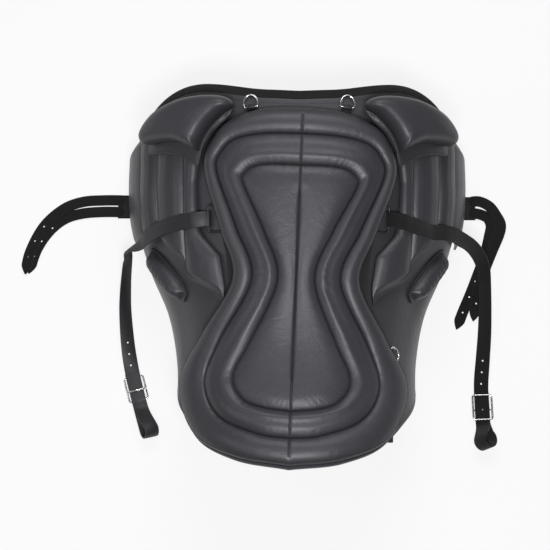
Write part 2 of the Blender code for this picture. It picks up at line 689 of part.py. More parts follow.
LEFT_ON_FLAP = [(BAR_U + 0.0195, 0.0895), (0.195, 0.0885), (0.220, 0.0870), (0.245, 0.0835),
                (0.270, 0.0790), (0.292, 0.0735)]
LEFT_FREE = [(0.2860, 0.0650, 0.080), (0.2905, 0.0560, 0.058), (0.2935, 0.0410, 0.040),
             (0.2960, 0.0226, 0.0275), (0.2975, -0.0025, 0.0190), (0.2975, -0.0290, 0.0150),
             (0.2950, -0.0640, 0.0115), (0.2910, -0.0990, 0.0085),
             (0.2856, -0.1300, ply_low + 0.0010), (0.2790, -0.1580, ply_low),
             (0.2714, -0.1863, ply_low)]
RIGHT_ON_FLAP = [(BAR_U + 0.0195, 0.0880), (0.185, 0.0845), (0.205, 0.0825), (0.227, 0.0810)]
RIGHT_FREE = [(0.2530, 0.0780, 0.158), (0.2740, 0.0740, 0.130), (0.2930, 0.0690, 0.103),
              (0.3080, 0.0590, 0.078), (0.3190, 0.0440, 0.056), (0.3245, 0.0230, 0.0390),
              (0.3265, -0.0130, 0.0260), (0.3265, -0.0470, 0.0190), (0.3255, -0.0770, 0.0140),
              (0.3225, -0.1170, 0.0090), (0.3195, -0.1610, ply_low),
              (0.3212, -0.2170, ply_low)]
# Way across the strap, by share of its way from the flap to the buckle: it leaves the
# flap flat, rolls on its edge and comes to lie flat on the floor
LEFT_ROLL = [(0.27, None), (0.38, (0.0, 0.30, -0.95)), (0.48, (0.35, 0.0, -0.94)),
             (0.58, (0.62, 0.0, -0.78)), (0.70, (0.80, 0.0, -0.60)), (0.80, (0.92, 0.0, -0.39))]
RIGHT_ROLL = [(0.18, None), (0.34, (0.45, 0.55, 0.70)), (0.52, (0.66, 0.15, 0.74)),
              (0.66, (0.80, 0.0, 0.60)), (0.80, (0.93, 0.0, 0.37))]
ROLLED = 0.90               # share of the way at which a strap lies flat again
STRAP_STEPS = 32
STRAP_HOLES = (0.0620, 0.0820, 0.1020)  # from the buckle's loop end, up the strap
# Loop for the stirrup: its length, its gap, its roll to one side and its turn
LEFT_LOOP = (0.067, 0.026, math.radians(25), 0.0)
RIGHT_LOOP = (0.048, 0.030, math.radians(-50), math.radians(40))


class FloorSpot:
    """A place on the floor with a way ahead, a way across and up."""

    def __init__(self, origin, ahead):
        self.origin = Vector((origin.x, origin.y, 0.0))
        self.ahead = Vector((ahead.x, ahead.y, 0.0)).normalized()
        self.across = Vector((-self.ahead.y, self.ahead.x, 0.0))

    def at(self, ahead, across, z):
        return self.origin + self.ahead * ahead + self.across * across + Vector((0, 0, z))


def make_buckle(label, spot, ends_over):
    """Three-bar buckle. ends_over: its end bars lie over the strap, or else its middle bar."""
    end_z, middle_z = (bars_high, bars_low) if ends_over else (bars_low, bars_high)
    half = BUCKLE_W / 2
    corners = [spot.at(a, c, end_z) for a, c in
               ((0.0, -half), (0.0, half), (-BUCKLE_L, half), (-BUCKLE_L, -half))]
    frame = wire("buckle_" + label, rounded(corners, 0.005), BUCKLE_R, STEEL)
    shape = [(0.0, 0.0), (0.015, 0.45), (0.05, 0.88), (0.12, 1.0), (0.88, 1.0),
             (0.95, 0.88), (0.985, 0.45), (1.0, 0.0)]
    bar = wire("buckle_bar_" + label,
               [spot.at(-BUCKLE_MIDDLE, BUCKLE_W * (c - 0.5), end_z + (middle_z - end_z) * rise)
                for c, rise in shape], BUCKLE_R, STEEL, closed=False)
    way = 1 if ends_over else -1
    far = ply_low + ply_step / 2 + way * (ply_step / 2 + STRAP_T / 2 + TONGUE_PROUD)
    tongue = peg("buckle_tongue_" + label, spot.at(-BUCKLE_MIDDLE, 0.0, middle_z),
                 spot.at(-BUCKLE_MIDDLE, 0.0, far), BUCKLE_TONGUE_R)
    combine(frame, bar, "UNION")
    combine(frame, tongue, "UNION")


def loop_route(spot, loop):
    """Places and ways across: out along the low ply, round the bend and back on top."""
    length, gap, roll, turn = loop
    bend = length - gap / 2
    past_bar = BUCKLE_R + STRAP_T
    out = [(past_bar + (bend - past_bar) * k / 5, 0.0) for k in range(5)]
    back = [(out[k][0], ply_step + (gap - ply_step) * (3 - 2 * k / 5) * (k / 5) ** 2)
            for k in reversed(range(5))]
    tail = [(s, ply_step) for s in np.linspace(0.0, -TAIL_L, 5)]
    places, ways = [], []
    for s, w in out + arc((bend, gap / 2), gap / 2, -90, 90, 7) + back + tail:
        share = min(max(s / bend, 0.0), 1.0)
        tilt = roll * share
        swing = Matrix.Rotation(turn * share / 2, 3, "Z")
        ahead, across = swing @ spot.ahead, swing @ spot.across
        high = Vector((0, 0, math.cos(tilt))) + across * math.sin(tilt)
        lift = max(ply_low, CLEAR + STRAP_W / 2 * abs(math.sin(tilt)) + STRAP_T / 2)
        places.append(spot.origin + ahead * s + Vector((0, 0, lift)) + high * w)
        ways.append(across * math.cos(tilt) - Vector((0, 0, math.sin(tilt))))
    return places, ways


def along(run, back):
    """Place and way ahead on a run of places, at a distance back from its end."""
    for a, b in zip(run[-2::-1], run[:0:-1]):
        step = (b - a).length
        if back <= step:
            return b + (a - b) * (back / step), (b - a) / step
        back -= step
    return run[0], (run[1] - run[0]).normalized()


def punch(strap, run, distances, radius=HOLE_R):
    """Holes through a strap that lies on the floor, at distances back from its end."""
    for number, back in enumerate(distances):
        place, ahead = along(run, back)
        depth = Vector((0, 0, 3 * STRAP_T))
        hole = peg(strap.name + "_hole_" + str(number + 1), place - depth, place + depth, radius,
                   sides=10)
        combine(strap, hole, "DIFFERENCE")


def rolled_way(roll, first, last, share):
    """Way across the strap at a share of its way."""
    keys = [(s, first if way is None else Vector(way)) for s, way in roll]
    keys = [(0.0, first)] + keys + [(ROLLED, last), (1.0, last)]
    for (low, a), (high, b) in zip(keys, keys[1:]):
        if share <= high:
            return a.lerp(b, (share - low) / max(high - low, 1e-6)).normalized()
    return last


def stirrup_side(label, side, on_flap, free, roll, loop, ends_over):
    """Strap with its eye, loop and tail, and the buckle that joins its two plies."""
    start = [on_form(side * u, STIRRUP_Y, h) for u, h in eye]
    route = [on_form(side * u, y, over_flap) for u, y in on_flap]
    route += [Vector((side * x, y, z)) for x, y, z in free]
    run = even_route(route, STRAP_STEPS)
    spot = FloorSpot(run[-1], run[-1] - run[-2])
    on_bar = along_form(side * BAR_U, STIRRUP_Y)
    ways = [on_bar] * len(start)
    ways += [rolled_way(roll, on_bar, spot.across, k / (len(run) - 1))
             for k in range(len(run))]
    loop_places, loop_ways = loop_route(spot, loop)
    strap = ribbon("stirrup_leather_" + label, start + run + loop_places, ways + loop_ways,
                   STRAP_W, STRAP_T, LEATHER)
    punch(strap, run, (BUCKLE_MIDDLE, *STRAP_HOLES))
    make_buckle(label, spot, ends_over)
    carry("stirrup_axis_" + label, on_form(side * BAR_U, STIRRUP_Y, BAR_H), -side * on_bar,
          ["stirrup_leather_" + label, "buckle_" + label])


stirrup_side("left", -1, LEFT_ON_FLAP, LEFT_FREE, LEFT_ROLL, LEFT_LOOP, False)
stirrup_side("right", 1, RIGHT_ON_FLAP, RIGHT_FREE, RIGHT_ROLL, RIGHT_LOOP, True)


# Girth webbing and billets

GIRTH_TOP = 0.175           # u where the webbing is sewn to the base
WEB_END = 0.316             # x of the webbing's outer end on the floor
BILLET_ROOT = 0.3035        # x of the billets' inner ends, sewn on the webbing
BILLET_HOLES = (0.0320, 0.0620, 0.0920)
floor_web = GIRTH_T / 2 + CLEAR
billet_z = floor_web + GIRTH_T / 2 + CLEAR + BILLET_T / 2

for side, label in ((-1, "left"), (1, "right")):
    lowest = floor_u(GIRTH_Y)
    down = [on_form(side * u, GIRTH_Y, DRAPE_CLEAR + GIRTH_T / 2)
            for u in np.linspace(GIRTH_TOP, lowest - 0.010, 12)]
    foot_x = abs(down[-1].x)
    ways = [along_form(side * 0.3, GIRTH_Y)] * len(down)
    down += [Vector((side * (foot_x + dx), GIRTH_Y, z)) for dx, z in
             ((0.0, 0.0060), (0.0006, 0.0034), (0.0024, 0.0017), (0.0055, floor_web),
              (0.0080, floor_web))]
    down.append(Vector((side * WEB_END, GIRTH_Y, floor_web)))
    ways += [Vector((0, 1, 0))] * (len(down) - len(ways))
    ribbon("girth_webbing_" + label, down, ways, GIRTH_W, GIRTH_T, WEBBING)

# Billets from above, x out from the saddle, y and height over the floor
flat_z = BILLET_T / 2 + CLEAR
stacked_z = flat_z + BILLET_T + 2 * CLEAR
BILLETS = {
    "billet_left_front": (-1, [(BILLET_ROOT, 0.1670, billet_z), (0.340, 0.1670, billet_z),
                               (0.378, 0.1635, stacked_z), (0.412, 0.1500, stacked_z),
                               (0.445, 0.1190, stacked_z), (0.4675, 0.0740, stacked_z),
                               (0.4755, 0.0330, stacked_z)]),
    "billet_left_rear": (-1, [(BILLET_ROOT, 0.1460, billet_z), (0.343, 0.1460, billet_z),
                              (0.380, 0.1430, flat_z), (0.410, 0.1330, flat_z),
                              (0.436, 0.1110, flat_z), (0.457, 0.0780, flat_z),
                              (0.4700, 0.0350, flat_z)]),
    "billet_right_front": (1, [(BILLET_ROOT, 0.1670, billet_z),
                               (0.322, 0.1680, billet_z + 0.0018),
                               (0.3400, 0.1590, stacked_z + 0.0012),
                               (0.3520, 0.1430, stacked_z),
                               (0.3595, 0.1270, stacked_z), (0.3565, 0.1090, stacked_z),
                               (0.3440, 0.0800, stacked_z), (0.3290, 0.0430, stacked_z),
                               (0.3180, 0.0060, stacked_z), (0.3080, -0.0460, stacked_z)]),
    "billet_right_rear": (1, [(BILLET_ROOT, 0.1460, billet_z), (0.3200, 0.1460, billet_z),
                              (0.3370, 0.1390, flat_z + 0.0002), (0.3430, 0.1250, flat_z),
                              (0.3400, 0.1080, flat_z), (0.3310, 0.0720, flat_z),
                              (0.3170, 0.0340, flat_z), (0.3030, -0.0010, flat_z),
                              (0.2900, -0.0310, flat_z), (0.2790, -0.0600, flat_z)]),
}
for name, (side, route) in BILLETS.items():
    run = even_route([Vector((side * x, y, z)) for x, y, z in route], 18)
    ways = []
    for k in range(len(run)):
        ahead = run[min(k + 1, len(run) - 1)] - run[max(k - 1, 0)]
        ways.append(ahead.cross(Vector((0, 0, -1))).normalized())
    billet = ribbon(name, run, ways, BILLET_W, BILLET_T, LEATHER)
    punch(billet, run, BILLET_HOLES)
carry("billet_axis_left", Vector((-BILLET_ROOT, GIRTH_Y, billet_z)), Vector((0, 1, 0)),
      ["billet_left_front", "billet_left_rear"])


# D-rings and their tabs

# Bar centre as u and y on the right side, and the way the ring lies: u and y
RINGS = {"front": ((0.0770, 0.2660), (0.12, 1.0)), "rear": ((0.1590, -0.1220), (1.0, -0.35))}
RING_H = 0.0042


def make_ring(label, side, spot, way):
    u, y = spot
    at = on_form(side * u, y, RING_H)
    slope = form_point(side * (u + way[0] * 0.01), y + way[1] * 0.01) - form_point(side * u, y)
    ahead = slope.normalized()
    up = form_normal(side * u, y)
    across = up.cross(ahead).normalized()
    half = RING_W / 2
    bow = [(RING_L * 0.30 + (RING_L * 0.70) * math.sin(a), -half * math.cos(a))
           for a in (math.pi * k / 8 for k in range(9))]
    outline = [(0.0, -half + 0.002)] + bow + [(0.0, half - 0.002)]
    outline[1] = (RING_L * 0.12, -half)
    outline[-2] = (RING_L * 0.12, half)
    wire("d_ring_" + label, [at + ahead * a + across * c for a, c in outline], RING_R, STEEL)
    reach = RING_R + 2 * CLEAR + TAB_T / 2
    low = SEAT_CLEAR + TAB_T / 2
    pattern_way = Vector(way).normalized()
    back = [on_form(side * (u + pattern_way.x * a), y + pattern_way.y * a, h)
            for a, h in ((-0.0150, low), (-0.0095, low), (-0.0055, low + 0.0010))]
    over = [at + ahead * reach * math.cos(a) + up * reach * math.sin(a)
            for a in (math.radians(d) for d in (150, 120, 90, 60, 30, 5))]
    ribbon("ring_tab_" + label, back + over, [across] * (len(back) + len(over)), TAB_W, TAB_T,
           LEATHER)
    carry("ring_axis_" + label, at, -across, ["d_ring_" + label])


for side, label in ((-1, "left"), (1, "right")):
    for end, (spot, way) in RINGS.items():
        make_ring(end + "_" + label, side, spot, way)

# Joints of the pieces that pull off their hook and loop

carry("seat_lift_axis", on_form(0.0, 0.0, underlay_low), Vector((0, 0, 1)),
      ["seat_cover", "seat_foam", "seat_underlay", "seat_binding"])
KNEE_SPOT = (0.180, 0.245)
for side, label in ((-1, "left"), (1, "right")):
    u, y = KNEE_SPOT
    carry("knee_axis_" + label, on_form(side * u, y, knee_flange_low), form_normal(side * u, y),
          ["knee_block_" + label, "knee_flange_" + label])


# Stand

def stand_on_origin():
    """Carry all on an empty that sets the middle of the footprint at the origin."""
    bpy.context.view_layer.update()
    corners = [obj.matrix_world @ Vector(corner) for obj in parts.objects
               if obj.type == "MESH" for corner in obj.bound_box]
    middle = [(min(c[axis] for c in corners) + max(c[axis] for c in corners)) / 2
              for axis in range(2)]
    loose = [obj for group in (parts, cutters) for obj in group.objects if obj.parent is None]
    stand = bpy.data.objects.new("saddle_stand", None)
    parts.objects.link(stand)
    stand.location = (-middle[0], -middle[1], 0.0)
    for obj in loose:
        obj.parent = stand


stand_on_origin()
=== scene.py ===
"""Treeless saddle, dressed with leather, felt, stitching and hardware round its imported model.

Metres, +Z up, +Y towards the pommel, +X to the rider's right, z = 0 on the floor. Pieces are
drawn about the saddle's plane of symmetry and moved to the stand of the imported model.

Leather and felt layers are flat patterns draped over one form, the arch of the saddle: u is
the distance along the arch from its ridge, y runs along the saddle, and h is the height above
the base leather, square to the form.
"""

import json
import math

import bmesh
import bpy
import numpy as np
from mathutils import Matrix, Vector


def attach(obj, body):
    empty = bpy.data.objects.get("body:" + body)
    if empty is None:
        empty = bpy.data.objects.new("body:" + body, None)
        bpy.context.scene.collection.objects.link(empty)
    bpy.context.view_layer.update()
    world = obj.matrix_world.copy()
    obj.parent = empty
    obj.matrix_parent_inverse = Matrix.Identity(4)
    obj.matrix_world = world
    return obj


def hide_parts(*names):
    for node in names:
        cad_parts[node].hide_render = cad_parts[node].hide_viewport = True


bl_info = {
    "name": "Treeless saddle",
    "version": (1, 0, 0),
    "blender": (4, 5, 0),
    "location": "View3D > Sidebar > Saddle",
    "description": "Builds a treeless saddle with padded seat, flaps, straps and hardware",
    "category": "Object",
}

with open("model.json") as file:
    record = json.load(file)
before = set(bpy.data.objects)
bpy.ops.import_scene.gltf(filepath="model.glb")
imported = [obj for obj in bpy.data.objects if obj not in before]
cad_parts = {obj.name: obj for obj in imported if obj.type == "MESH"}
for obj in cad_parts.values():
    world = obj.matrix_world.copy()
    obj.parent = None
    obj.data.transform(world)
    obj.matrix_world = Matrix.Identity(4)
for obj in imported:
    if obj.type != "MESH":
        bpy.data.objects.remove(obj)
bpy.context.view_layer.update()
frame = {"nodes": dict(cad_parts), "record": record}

# Arch of the saddle: y, half width on the floor, ridge height, squareness of the section
ARCH = [(-0.42, 0.196, 0.262, 2.5), (-0.33, 0.200, 0.240, 2.5), (-0.22, 0.204, 0.218, 2.5),
        (-0.12, 0.206, 0.212, 2.4), (-0.04, 0.222, 0.219, 2.3), (0.04, 0.256, 0.232, 2.2),
        (0.12, 0.279, 0.244, 2.2), (0.22, 0.283, 0.252, 2.2), (0.30, 0.280, 0.256, 2.2),
        (0.42, 0.272, 0.258, 2.2)]
SECTION_STEPS = 200

CLEAR = 0.0003              # between pieces that touch
SEAT_CLEAR = 0.0006         # under a small piece that sits on a draped layer
DRAPE_CLEAR = 0.0014        # between draped layers whose facets do not line up

# A name that ends in _T is a thickness, _W a width, _L a length and _R a radius
LEATHER_T = 0.0032
FELT_T = 0.0060
PANEL_T = 0.0240
PANEL_EDGE_T = 0.0050
PANEL_WIDTH = 0.1500
PANEL_REAR, PANEL_FRONT = -0.265, 0.185
SPINE_HALF_GAP = 0.0350

PAD_LOW = 0.0018
PAD_T = 0.0092
UNDERLAY_T = 0.0040
SEAT_SIDE = 0.0110
SEAT_CROWN = 0.0080
SEAT_FILL = 0.0105

FLAP_EDGE_T = 0.0042
FLAP_CROWN = 0.0095
FLAP_LIFT = 0.0050
KNEE_FLANGE_T = 0.0024
KNEE_T = 0.0340
THIGH_T = 0.0230
THIGH_WIDTH = 0.0380
THIGH_EDGE_T = 0.0035

STRAP_W = 0.0250
STRAP_T = 0.0028
STRAP_LOW = 0.0018
BAR_R = 0.0020
BAR_W = 0.0440
STIRRUP_Y = 0.0900
BAR_U = 0.1475
BAR_H = 0.0074
BAR_DEPTH = 0.0280
WEB_T = 0.0014
GIRTH_W = 0.0420
GIRTH_T = 0.0016
GIRTH_Y = 0.1560
BILLET_W = 0.0190
BILLET_T = 0.0030
BILLET_ROOT = 0.3035        # where the billets are sewn on, out from the middle
WEB_END = 0.316
GIRTH_TOP = 0.175

RING_R = 0.0016
RING_W = 0.0230
RING_L = 0.0200
RING_H = 0.0042
TAB_W = 0.0150
TAB_T = 0.0014
BUCKLE_R = 0.0018
BUCKLE_W = 0.0330
BUCKLE_L = 0.0420
BUCKLE_MIDDLE = 0.0170
BUCKLE_TONGUE_R = 0.0013
TONGUE_PROUD = 0.0009
TAIL_L = 0.0480
HOLE_R = 0.0016

# Stitches: from one to the next, half the thread's width, and the lift of its seam
STRAP_PITCH, TAB_PITCH = 0.0030, 0.0026
THREAD_R, SEAT_THREAD_R, STRAP_THREAD_R, TAB_THREAD_R = 0.00042, 0.00062, 0.00036, 0.00030
SEAM_LIFT = 0.0001

SIDES = ((-1, "left"), (1, "right"))


def stand_offset():
    """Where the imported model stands: its left billets hinge on the ends of the webbing."""
    joints = frame["record"]["behaviour"]["joints"]
    hinge = next(joint for joint in joints if joint["name"] == "billets_left_lift")
    return Vector((hinge["pos_m"][0] + BILLET_ROOT, hinge["pos_m"][1] - GIRTH_Y, 0.0))


STAND = stand_offset()


# The form

def station_value(y, column):
    """One column of the arch table at y, along a smooth curve through the stations."""
    ys = [row[0] for row in ARCH]
    vs = [row[column] for row in ARCH]
    slopes = np.gradient(vs, ys)
    i = min(max(int(np.searchsorted(ys, y)) - 1, 0), len(ys) - 2)
    step = ys[i + 1] - ys[i]
    t = (y - ys[i]) / step
    return ((2 * t**3 - 3 * t**2 + 1) * vs[i] + (t**3 - 2 * t**2 + t) * step * slopes[i]
            + (-2 * t**3 + 3 * t**2) * vs[i + 1] + (t**3 - t**2) * step * slopes[i + 1])


def section(y):
    """Distance along the arch, x and z, from the ridge down to the floor at y."""
    half, ridge, power = (station_value(y, column) for column in (1, 2, 3))
    angle = np.linspace(0.0, math.pi / 2, SECTION_STEPS)
    x = half * np.sin(angle) ** (2 / power)
    z = ridge * np.cos(angle) ** (2 / power)
    z[-1] = 0.0
    length = np.concatenate([[0.0], np.cumsum(np.hypot(np.diff(x), np.diff(z)))])
    return length, x, z


class Form:
    """The arch read off a fine net of places, so that many places are found at once."""

    Y0, Y1, Y_COUNT = -0.45, 0.45, 451
    U1, U_COUNT = 0.56, 561

    def __init__(self):
        self.ys = np.linspace(self.Y0, self.Y1, self.Y_COUNT)
        us = np.linspace(0.0, self.U1, self.U_COUNT)
        net, floor = [], []
        for y in self.ys:
            length, x, z = section(float(np.clip(y, ARCH[0][0], ARCH[-1][0])))
            below = np.maximum(us - length[-1], 0.0)
            net.append(np.stack([np.interp(us, length, x), np.interp(us, length, z) - below], 1))
            floor.append(length[-1])
        self.net = np.array(net)
        self.floor = np.array(floor)

    def floor_u(self, y):
        return np.interp(y, self.ys, self.floor)

    def points(self, u, y):
        u, y = np.broadcast_arrays(np.asarray(u, float), np.asarray(y, float))
        row = np.clip((y - self.Y0) / (self.Y1 - self.Y0), 0, 1) * (self.Y_COUNT - 1)
        column = np.clip(np.abs(u) / self.U1, 0, 1) * (self.U_COUNT - 1)
        i = np.minimum(row.astype(int), self.Y_COUNT - 2)
        k = np.minimum(column.astype(int), self.U_COUNT - 2)
        a, b = (row - i)[..., None], (column - k)[..., None]
        flat = ((self.net[i, k] * (1 - b) + self.net[i, k + 1] * b) * (1 - a)
                + (self.net[i + 1, k] * (1 - b) + self.net[i + 1, k + 1] * b) * a)
        return np.stack([np.where(u < 0, -1.0, 1.0) * flat[..., 0], y, flat[..., 1]], -1)

    def normals(self, u, y, reach=0.004):
        across = self.points(u + reach, y) - self.points(u - reach, y)
        along = self.points(u, y + reach) - self.points(u, y - reach)
        return unit(np.cross(across, along))

    def ahead(self, u, y, reach=0.004):
        """Unit vectors along the saddle, towards the pommel, on the form."""
        return unit(self.points(u, y + reach) - self.points(u, y - reach))

    def at(self, u, y, h, lowest=0.0):
        """World places of pattern places u, y at height h. The floor cuts them level."""
        u, y, h = np.broadcast_arrays(*(np.asarray(value, float) for value in (u, y, h)))
        places = self.points(u, y) + h[..., None] * self.normals(u, y)
        places[..., 2] = np.maximum(places[..., 2], lowest)
        return places


def unit(vectors):
    return vectors / np.maximum(np.linalg.norm(vectors, axis=-1, keepdims=True), 1e-12)


def smooth(value, low, high):
    t = np.clip((value - low) / (high - low), 0.0, 1.0)
    return t * t * (3 - 2 * t)


def through(points, value):
    """Places at value, 0 to 1, on a smooth curve through points, even in its keys."""
    keys = np.asarray(points, float)
    last = len(keys) - 1
    at = np.clip(np.asarray(value, float), 0.0, 1.0) * last
    i = np.minimum(at.astype(int), last - 1)
    t = (at - i)[..., None]
    longer = np.vstack([2 * keys[0] - keys[1], keys, 2 * keys[-1] - keys[-2]])
    before, a, b, after = (longer[i + k] for k in range(4))
    return 0.5 * ((2 * a) + (b - before) * t + (2 * before - 5 * a + 4 * b - after) * t**2
                  + (3 * a - before - 3 * b + after) * t**3)


def ring_point(points, s):
    """Places at s, 0 to 1, on the smooth closed curve through points."""
    wrapped = [points[-1], *points, points[0], points[1]]
    return through(wrapped, (1 + (np.asarray(s) % 1.0) * len(points)) / (len(points) + 2))


def run_length(places):
    return np.concatenate([[0.0], np.cumsum(np.linalg.norm(np.diff(places, axis=0), axis=1))])


def even(places, count):
    """count places at even distances along a run of places."""
    run = run_length(places)
    return at_lengths(places, np.linspace(0.0, run[-1], count))


def at_lengths(places, lengths):
    run = run_length(places)
    return np.stack([np.interp(lengths, run, places[:, axis]) for axis in range(3)], 1)


def even_route(points, count, dense=40):
    """count places at even distances along the smooth curve through points."""
    return even(through(points, np.linspace(0, 1, dense * (len(points) - 1) + 1)), count)


def between(pairs, value):
    """Straight-line reading of a list of (place, value) pairs."""
    return np.interp(value, [p[0] for p in pairs], [p[1] for p in pairs])


def arc(centre, radius, start, end, count):
    """Places on an arc about centre, angles in degrees from the first way to the second."""
    steps = np.radians(np.linspace(start, end, count))
    return [(centre[0] + radius * math.cos(a), centre[1] + radius * math.sin(a))
            for a in steps]


form = Form()


# Making pieces

def select_only(obj):
    bpy.ops.object.select_all(action="DESELECT")
    obj.select_set(True)
    bpy.context.view_layer.objects.active = obj


def modify(obj, kind, **settings):
    """Add a modifier to obj and apply it."""
    step = obj.modifiers.new(kind.title(), kind)
    for key, value in settings.items():
        setattr(step, key, value)
    select_only(obj)
    bpy.ops.object.modifier_apply(modifier=step.name)


def grid(name, rows, columns):
    """A flat grid from -0.5 to 0.5 both ways, to be given its shape."""
    bpy.ops.object.select_all(action="DESELECT")
    bpy.ops.mesh.primitive_grid_add(x_subdivisions=rows, y_subdivisions=columns, size=1.0)
    obj = bpy.context.object
    obj.name = obj.data.name = name
    return obj


def read(obj):
    flat = np.empty(len(obj.data.vertices) * 3)
    obj.data.vertices.foreach_get("co", flat)
    return flat.reshape(-1, 3)


def write(obj, places):
    obj.data.vertices.foreach_set("co", np.ascontiguousarray(places, float).ravel())
    obj.data.update()


def edit_all(obj):
    """Open obj in edit mode with all of it selected."""
    select_only(obj)
    bpy.ops.object.mode_set(mode="EDIT")
    bpy.ops.mesh.select_all(action="SELECT")


def mend(obj, fill=False):
    """Join doubled vertices, close open ends and turn the faces outwards."""
    edit_all(obj)
    bpy.ops.mesh.remove_doubles(threshold=0.00002)
    bpy.ops.mesh.dissolve_degenerate(threshold=0.00001)
    if fill:
        bpy.ops.mesh.select_all(action="DESELECT")
        bpy.ops.mesh.select_mode(type="EDGE")
        bpy.ops.mesh.select_non_manifold()
        bpy.ops.mesh.edge_face_add()
        bpy.ops.mesh.select_mode(type="VERT")
    bpy.ops.mesh.select_all(action="SELECT")
    bpy.ops.mesh.normals_make_consistent(inside=False)
    bpy.ops.object.mode_set(mode="OBJECT")


def rounded_edges(obj, bevel):
    if bevel:
        modify(obj, "BEVEL", width=bevel, segments=3, limit_method="ANGLE",
               angle_limit=math.radians(55))
    return obj


def sheet_piece(name, place, rows, columns, thickness, bevel=0.0):
    """A draped sheet: its outer face from place(s, t), then its thickness and round edges."""
    obj = grid(name, rows, columns)
    shares = read(obj) + 0.5
    write(obj, place(shares[:, 0], shares[:, 1]))
    mend(obj)
    face_up(obj)
    modify(obj, "SOLIDIFY", thickness=thickness, offset=-1.0, use_even_offset=False)
    return rounded_edges(obj, bevel)


def face_up(obj):
    """Turn an open sheet so that its faces look away from the horse."""
    normals = np.empty(len(obj.data.polygons) * 3)
    obj.data.polygons.foreach_get("normal", normals)
    if normals.reshape(-1, 3)[:, 2].mean() < 0:
        edit_all(obj)
        bpy.ops.mesh.flip_normals()
        bpy.ops.object.mode_set(mode="OBJECT")


def slab_piece(name, place, rows, columns, bevel=0.0):
    """A closed slab: place(s, t, top) gives both of its faces."""
    obj = grid(name, rows, columns)
    modify(obj, "SOLIDIFY", thickness=1.0, offset=1.0)
    shares = read(obj)
    write(obj, place(shares[:, 0] + 0.5, shares[:, 1] + 0.5, shares[:, 2] > 0.5))
    mend(obj)
    return rounded_edges(obj, bevel)


def wrapped_piece(name, place, around, across, fill=False):
    """A closed body over a grid whose edges meet. place(s, t) gives its places."""
    obj = grid(name, around, across)
    shares = read(obj) + 0.5
    write(obj, place(shares[:, 0], shares[:, 1]))
    mend(obj, fill)
    return obj


def settle(obj, materials, body, replaces=(), angle=35.0):
    """Finish a piece: shade it, stand it, give it its materials and its body."""
    obj.data.transform(Matrix.Translation(STAND))
    select_only(obj)
    bpy.ops.object.shade_smooth_by_angle(angle=math.radians(angle))
    obj.data.materials.clear()
    for material in materials:
        obj.data.materials.append(material)
    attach(obj, body)
    if replaces:
        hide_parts(*replaces)
    return obj


def rows_through(parts):
    """Fine rows (level, height) along smooth curves, each given by keys and a count."""
    rows = []
    for keys, count in parts:
        fine = through(keys, np.linspace(0, 1, count))
        rows += [tuple(row) for row in (fine if not rows else fine[1:])]
    return np.array(rows)


def section_strap(width, thickness, dent=0.00012):
    """Outline of a strap's section: a flat top with creased, rounded edges, and a flat back."""
    half, deep = width / 2, thickness / 2
    round_r = min(deep * 0.75, 0.0009)
    crease = half - 0.0026
    top = [(-half, deep - round_r * 1.2), (-half + round_r * 0.3, deep - round_r * 0.3),
           (-half + round_r, deep), (-crease - 0.0005, deep), (-crease, deep - dent),
           (-crease + 0.0005, deep), (0.0, deep + dent), (crease - 0.0005, deep),
           (crease, deep - dent), (crease + 0.0005, deep), (half - round_r, deep),
           (half - round_r * 0.3, deep - round_r * 0.3), (half, deep - round_r * 1.2)]
    low = [(half, -deep + round_r * 1.2), (half - round_r * 0.3, -deep + round_r * 0.3),
           (half - round_r, -deep), (0.0, -deep), (-half + round_r, -deep),
           (-half + round_r * 0.3, -deep + round_r * 0.3), (-half, -deep + round_r * 1.2)]
    return np.array(top + low), len(top)


def strap_axes(centre, ways):
    """Unit ways ahead, across and up at each place of a strap."""
    ahead = unit(np.gradient(centre, axis=0))
    across = ways - ahead * np.sum(ways * ahead, axis=1, keepdims=True)
    across = unit(across)
    return ahead, across, np.cross(across, ahead)


def strap_piece(name, centre, ways, width, thickness, tips=(0.0, 0.0), sharp=2.0):
    """A strap along centre. tips are the lengths over which its two ends round off.

    Faces of the section's top keep material 0, those of its back get material 1.
    """
    outline, top_count = section_strap(width, thickness)
    count, around = len(centre), len(outline)
    obj = grid(name, count - 1, around)
    shares = read(obj) + 0.5
    k = np.rint(shares[:, 0] * (count - 1)).astype(int)
    m = np.rint(shares[:, 1] * around).astype(int) % around
    run = run_length(centre)
    narrow = np.ones(count)
    for reach, back in zip(tips, (run, run[-1] - run)):
        if reach:
            share = np.clip(1 - back / reach, 0.0, 1.0)
            narrow *= np.maximum(1 - share ** sharp, 0.02) ** (1 / sharp)
    ahead, across, up = strap_axes(centre, ways)
    side = outline[m, 0] * narrow[k]
    write(obj, centre[k] + across[k] * side[:, None] + up[k] * outline[m, 1][:, None])
    low = np.empty(len(obj.data.polygons), bool)
    for face in obj.data.polygons:
        columns = [m[v] for v in face.vertices]
        low[face.index] = min(columns) >= top_count - 1 or (0 in columns
                                                            and max(columns) > top_count)
    obj.data.polygons.foreach_set("material_index", low.astype(np.int32))
    mend(obj, fill=True)
    return obj


def tube_piece(name, places, radius, closed=True, sides=4):
    """A bent wire through places: a curve with a bevel, converted to a mesh."""
    bpy.ops.object.select_all(action="DESELECT")
    bpy.ops.curve.primitive_nurbs_path_add()
    guide = bpy.context.object
    curve = guide.data
    curve.splines.clear()
    spline = curve.splines.new("POLY")
    spline.points.add(len(places) - 1)
    spline.points.foreach_set("co", np.hstack([places, np.ones((len(places), 1))]).ravel())
    spline.use_cyclic_u = closed
    curve.dimensions = "3D"
    curve.bevel_depth = radius
    curve.bevel_resolution = sides
    curve.use_fill_caps = True
    select_only(guide)
    bpy.ops.object.convert(target="MESH")
    made = bpy.context.object
    made.name = made.data.name = name
    made.data.transform(made.matrix_world)
    made.matrix_world = Matrix.Identity(4)
    mend(made)
    return made


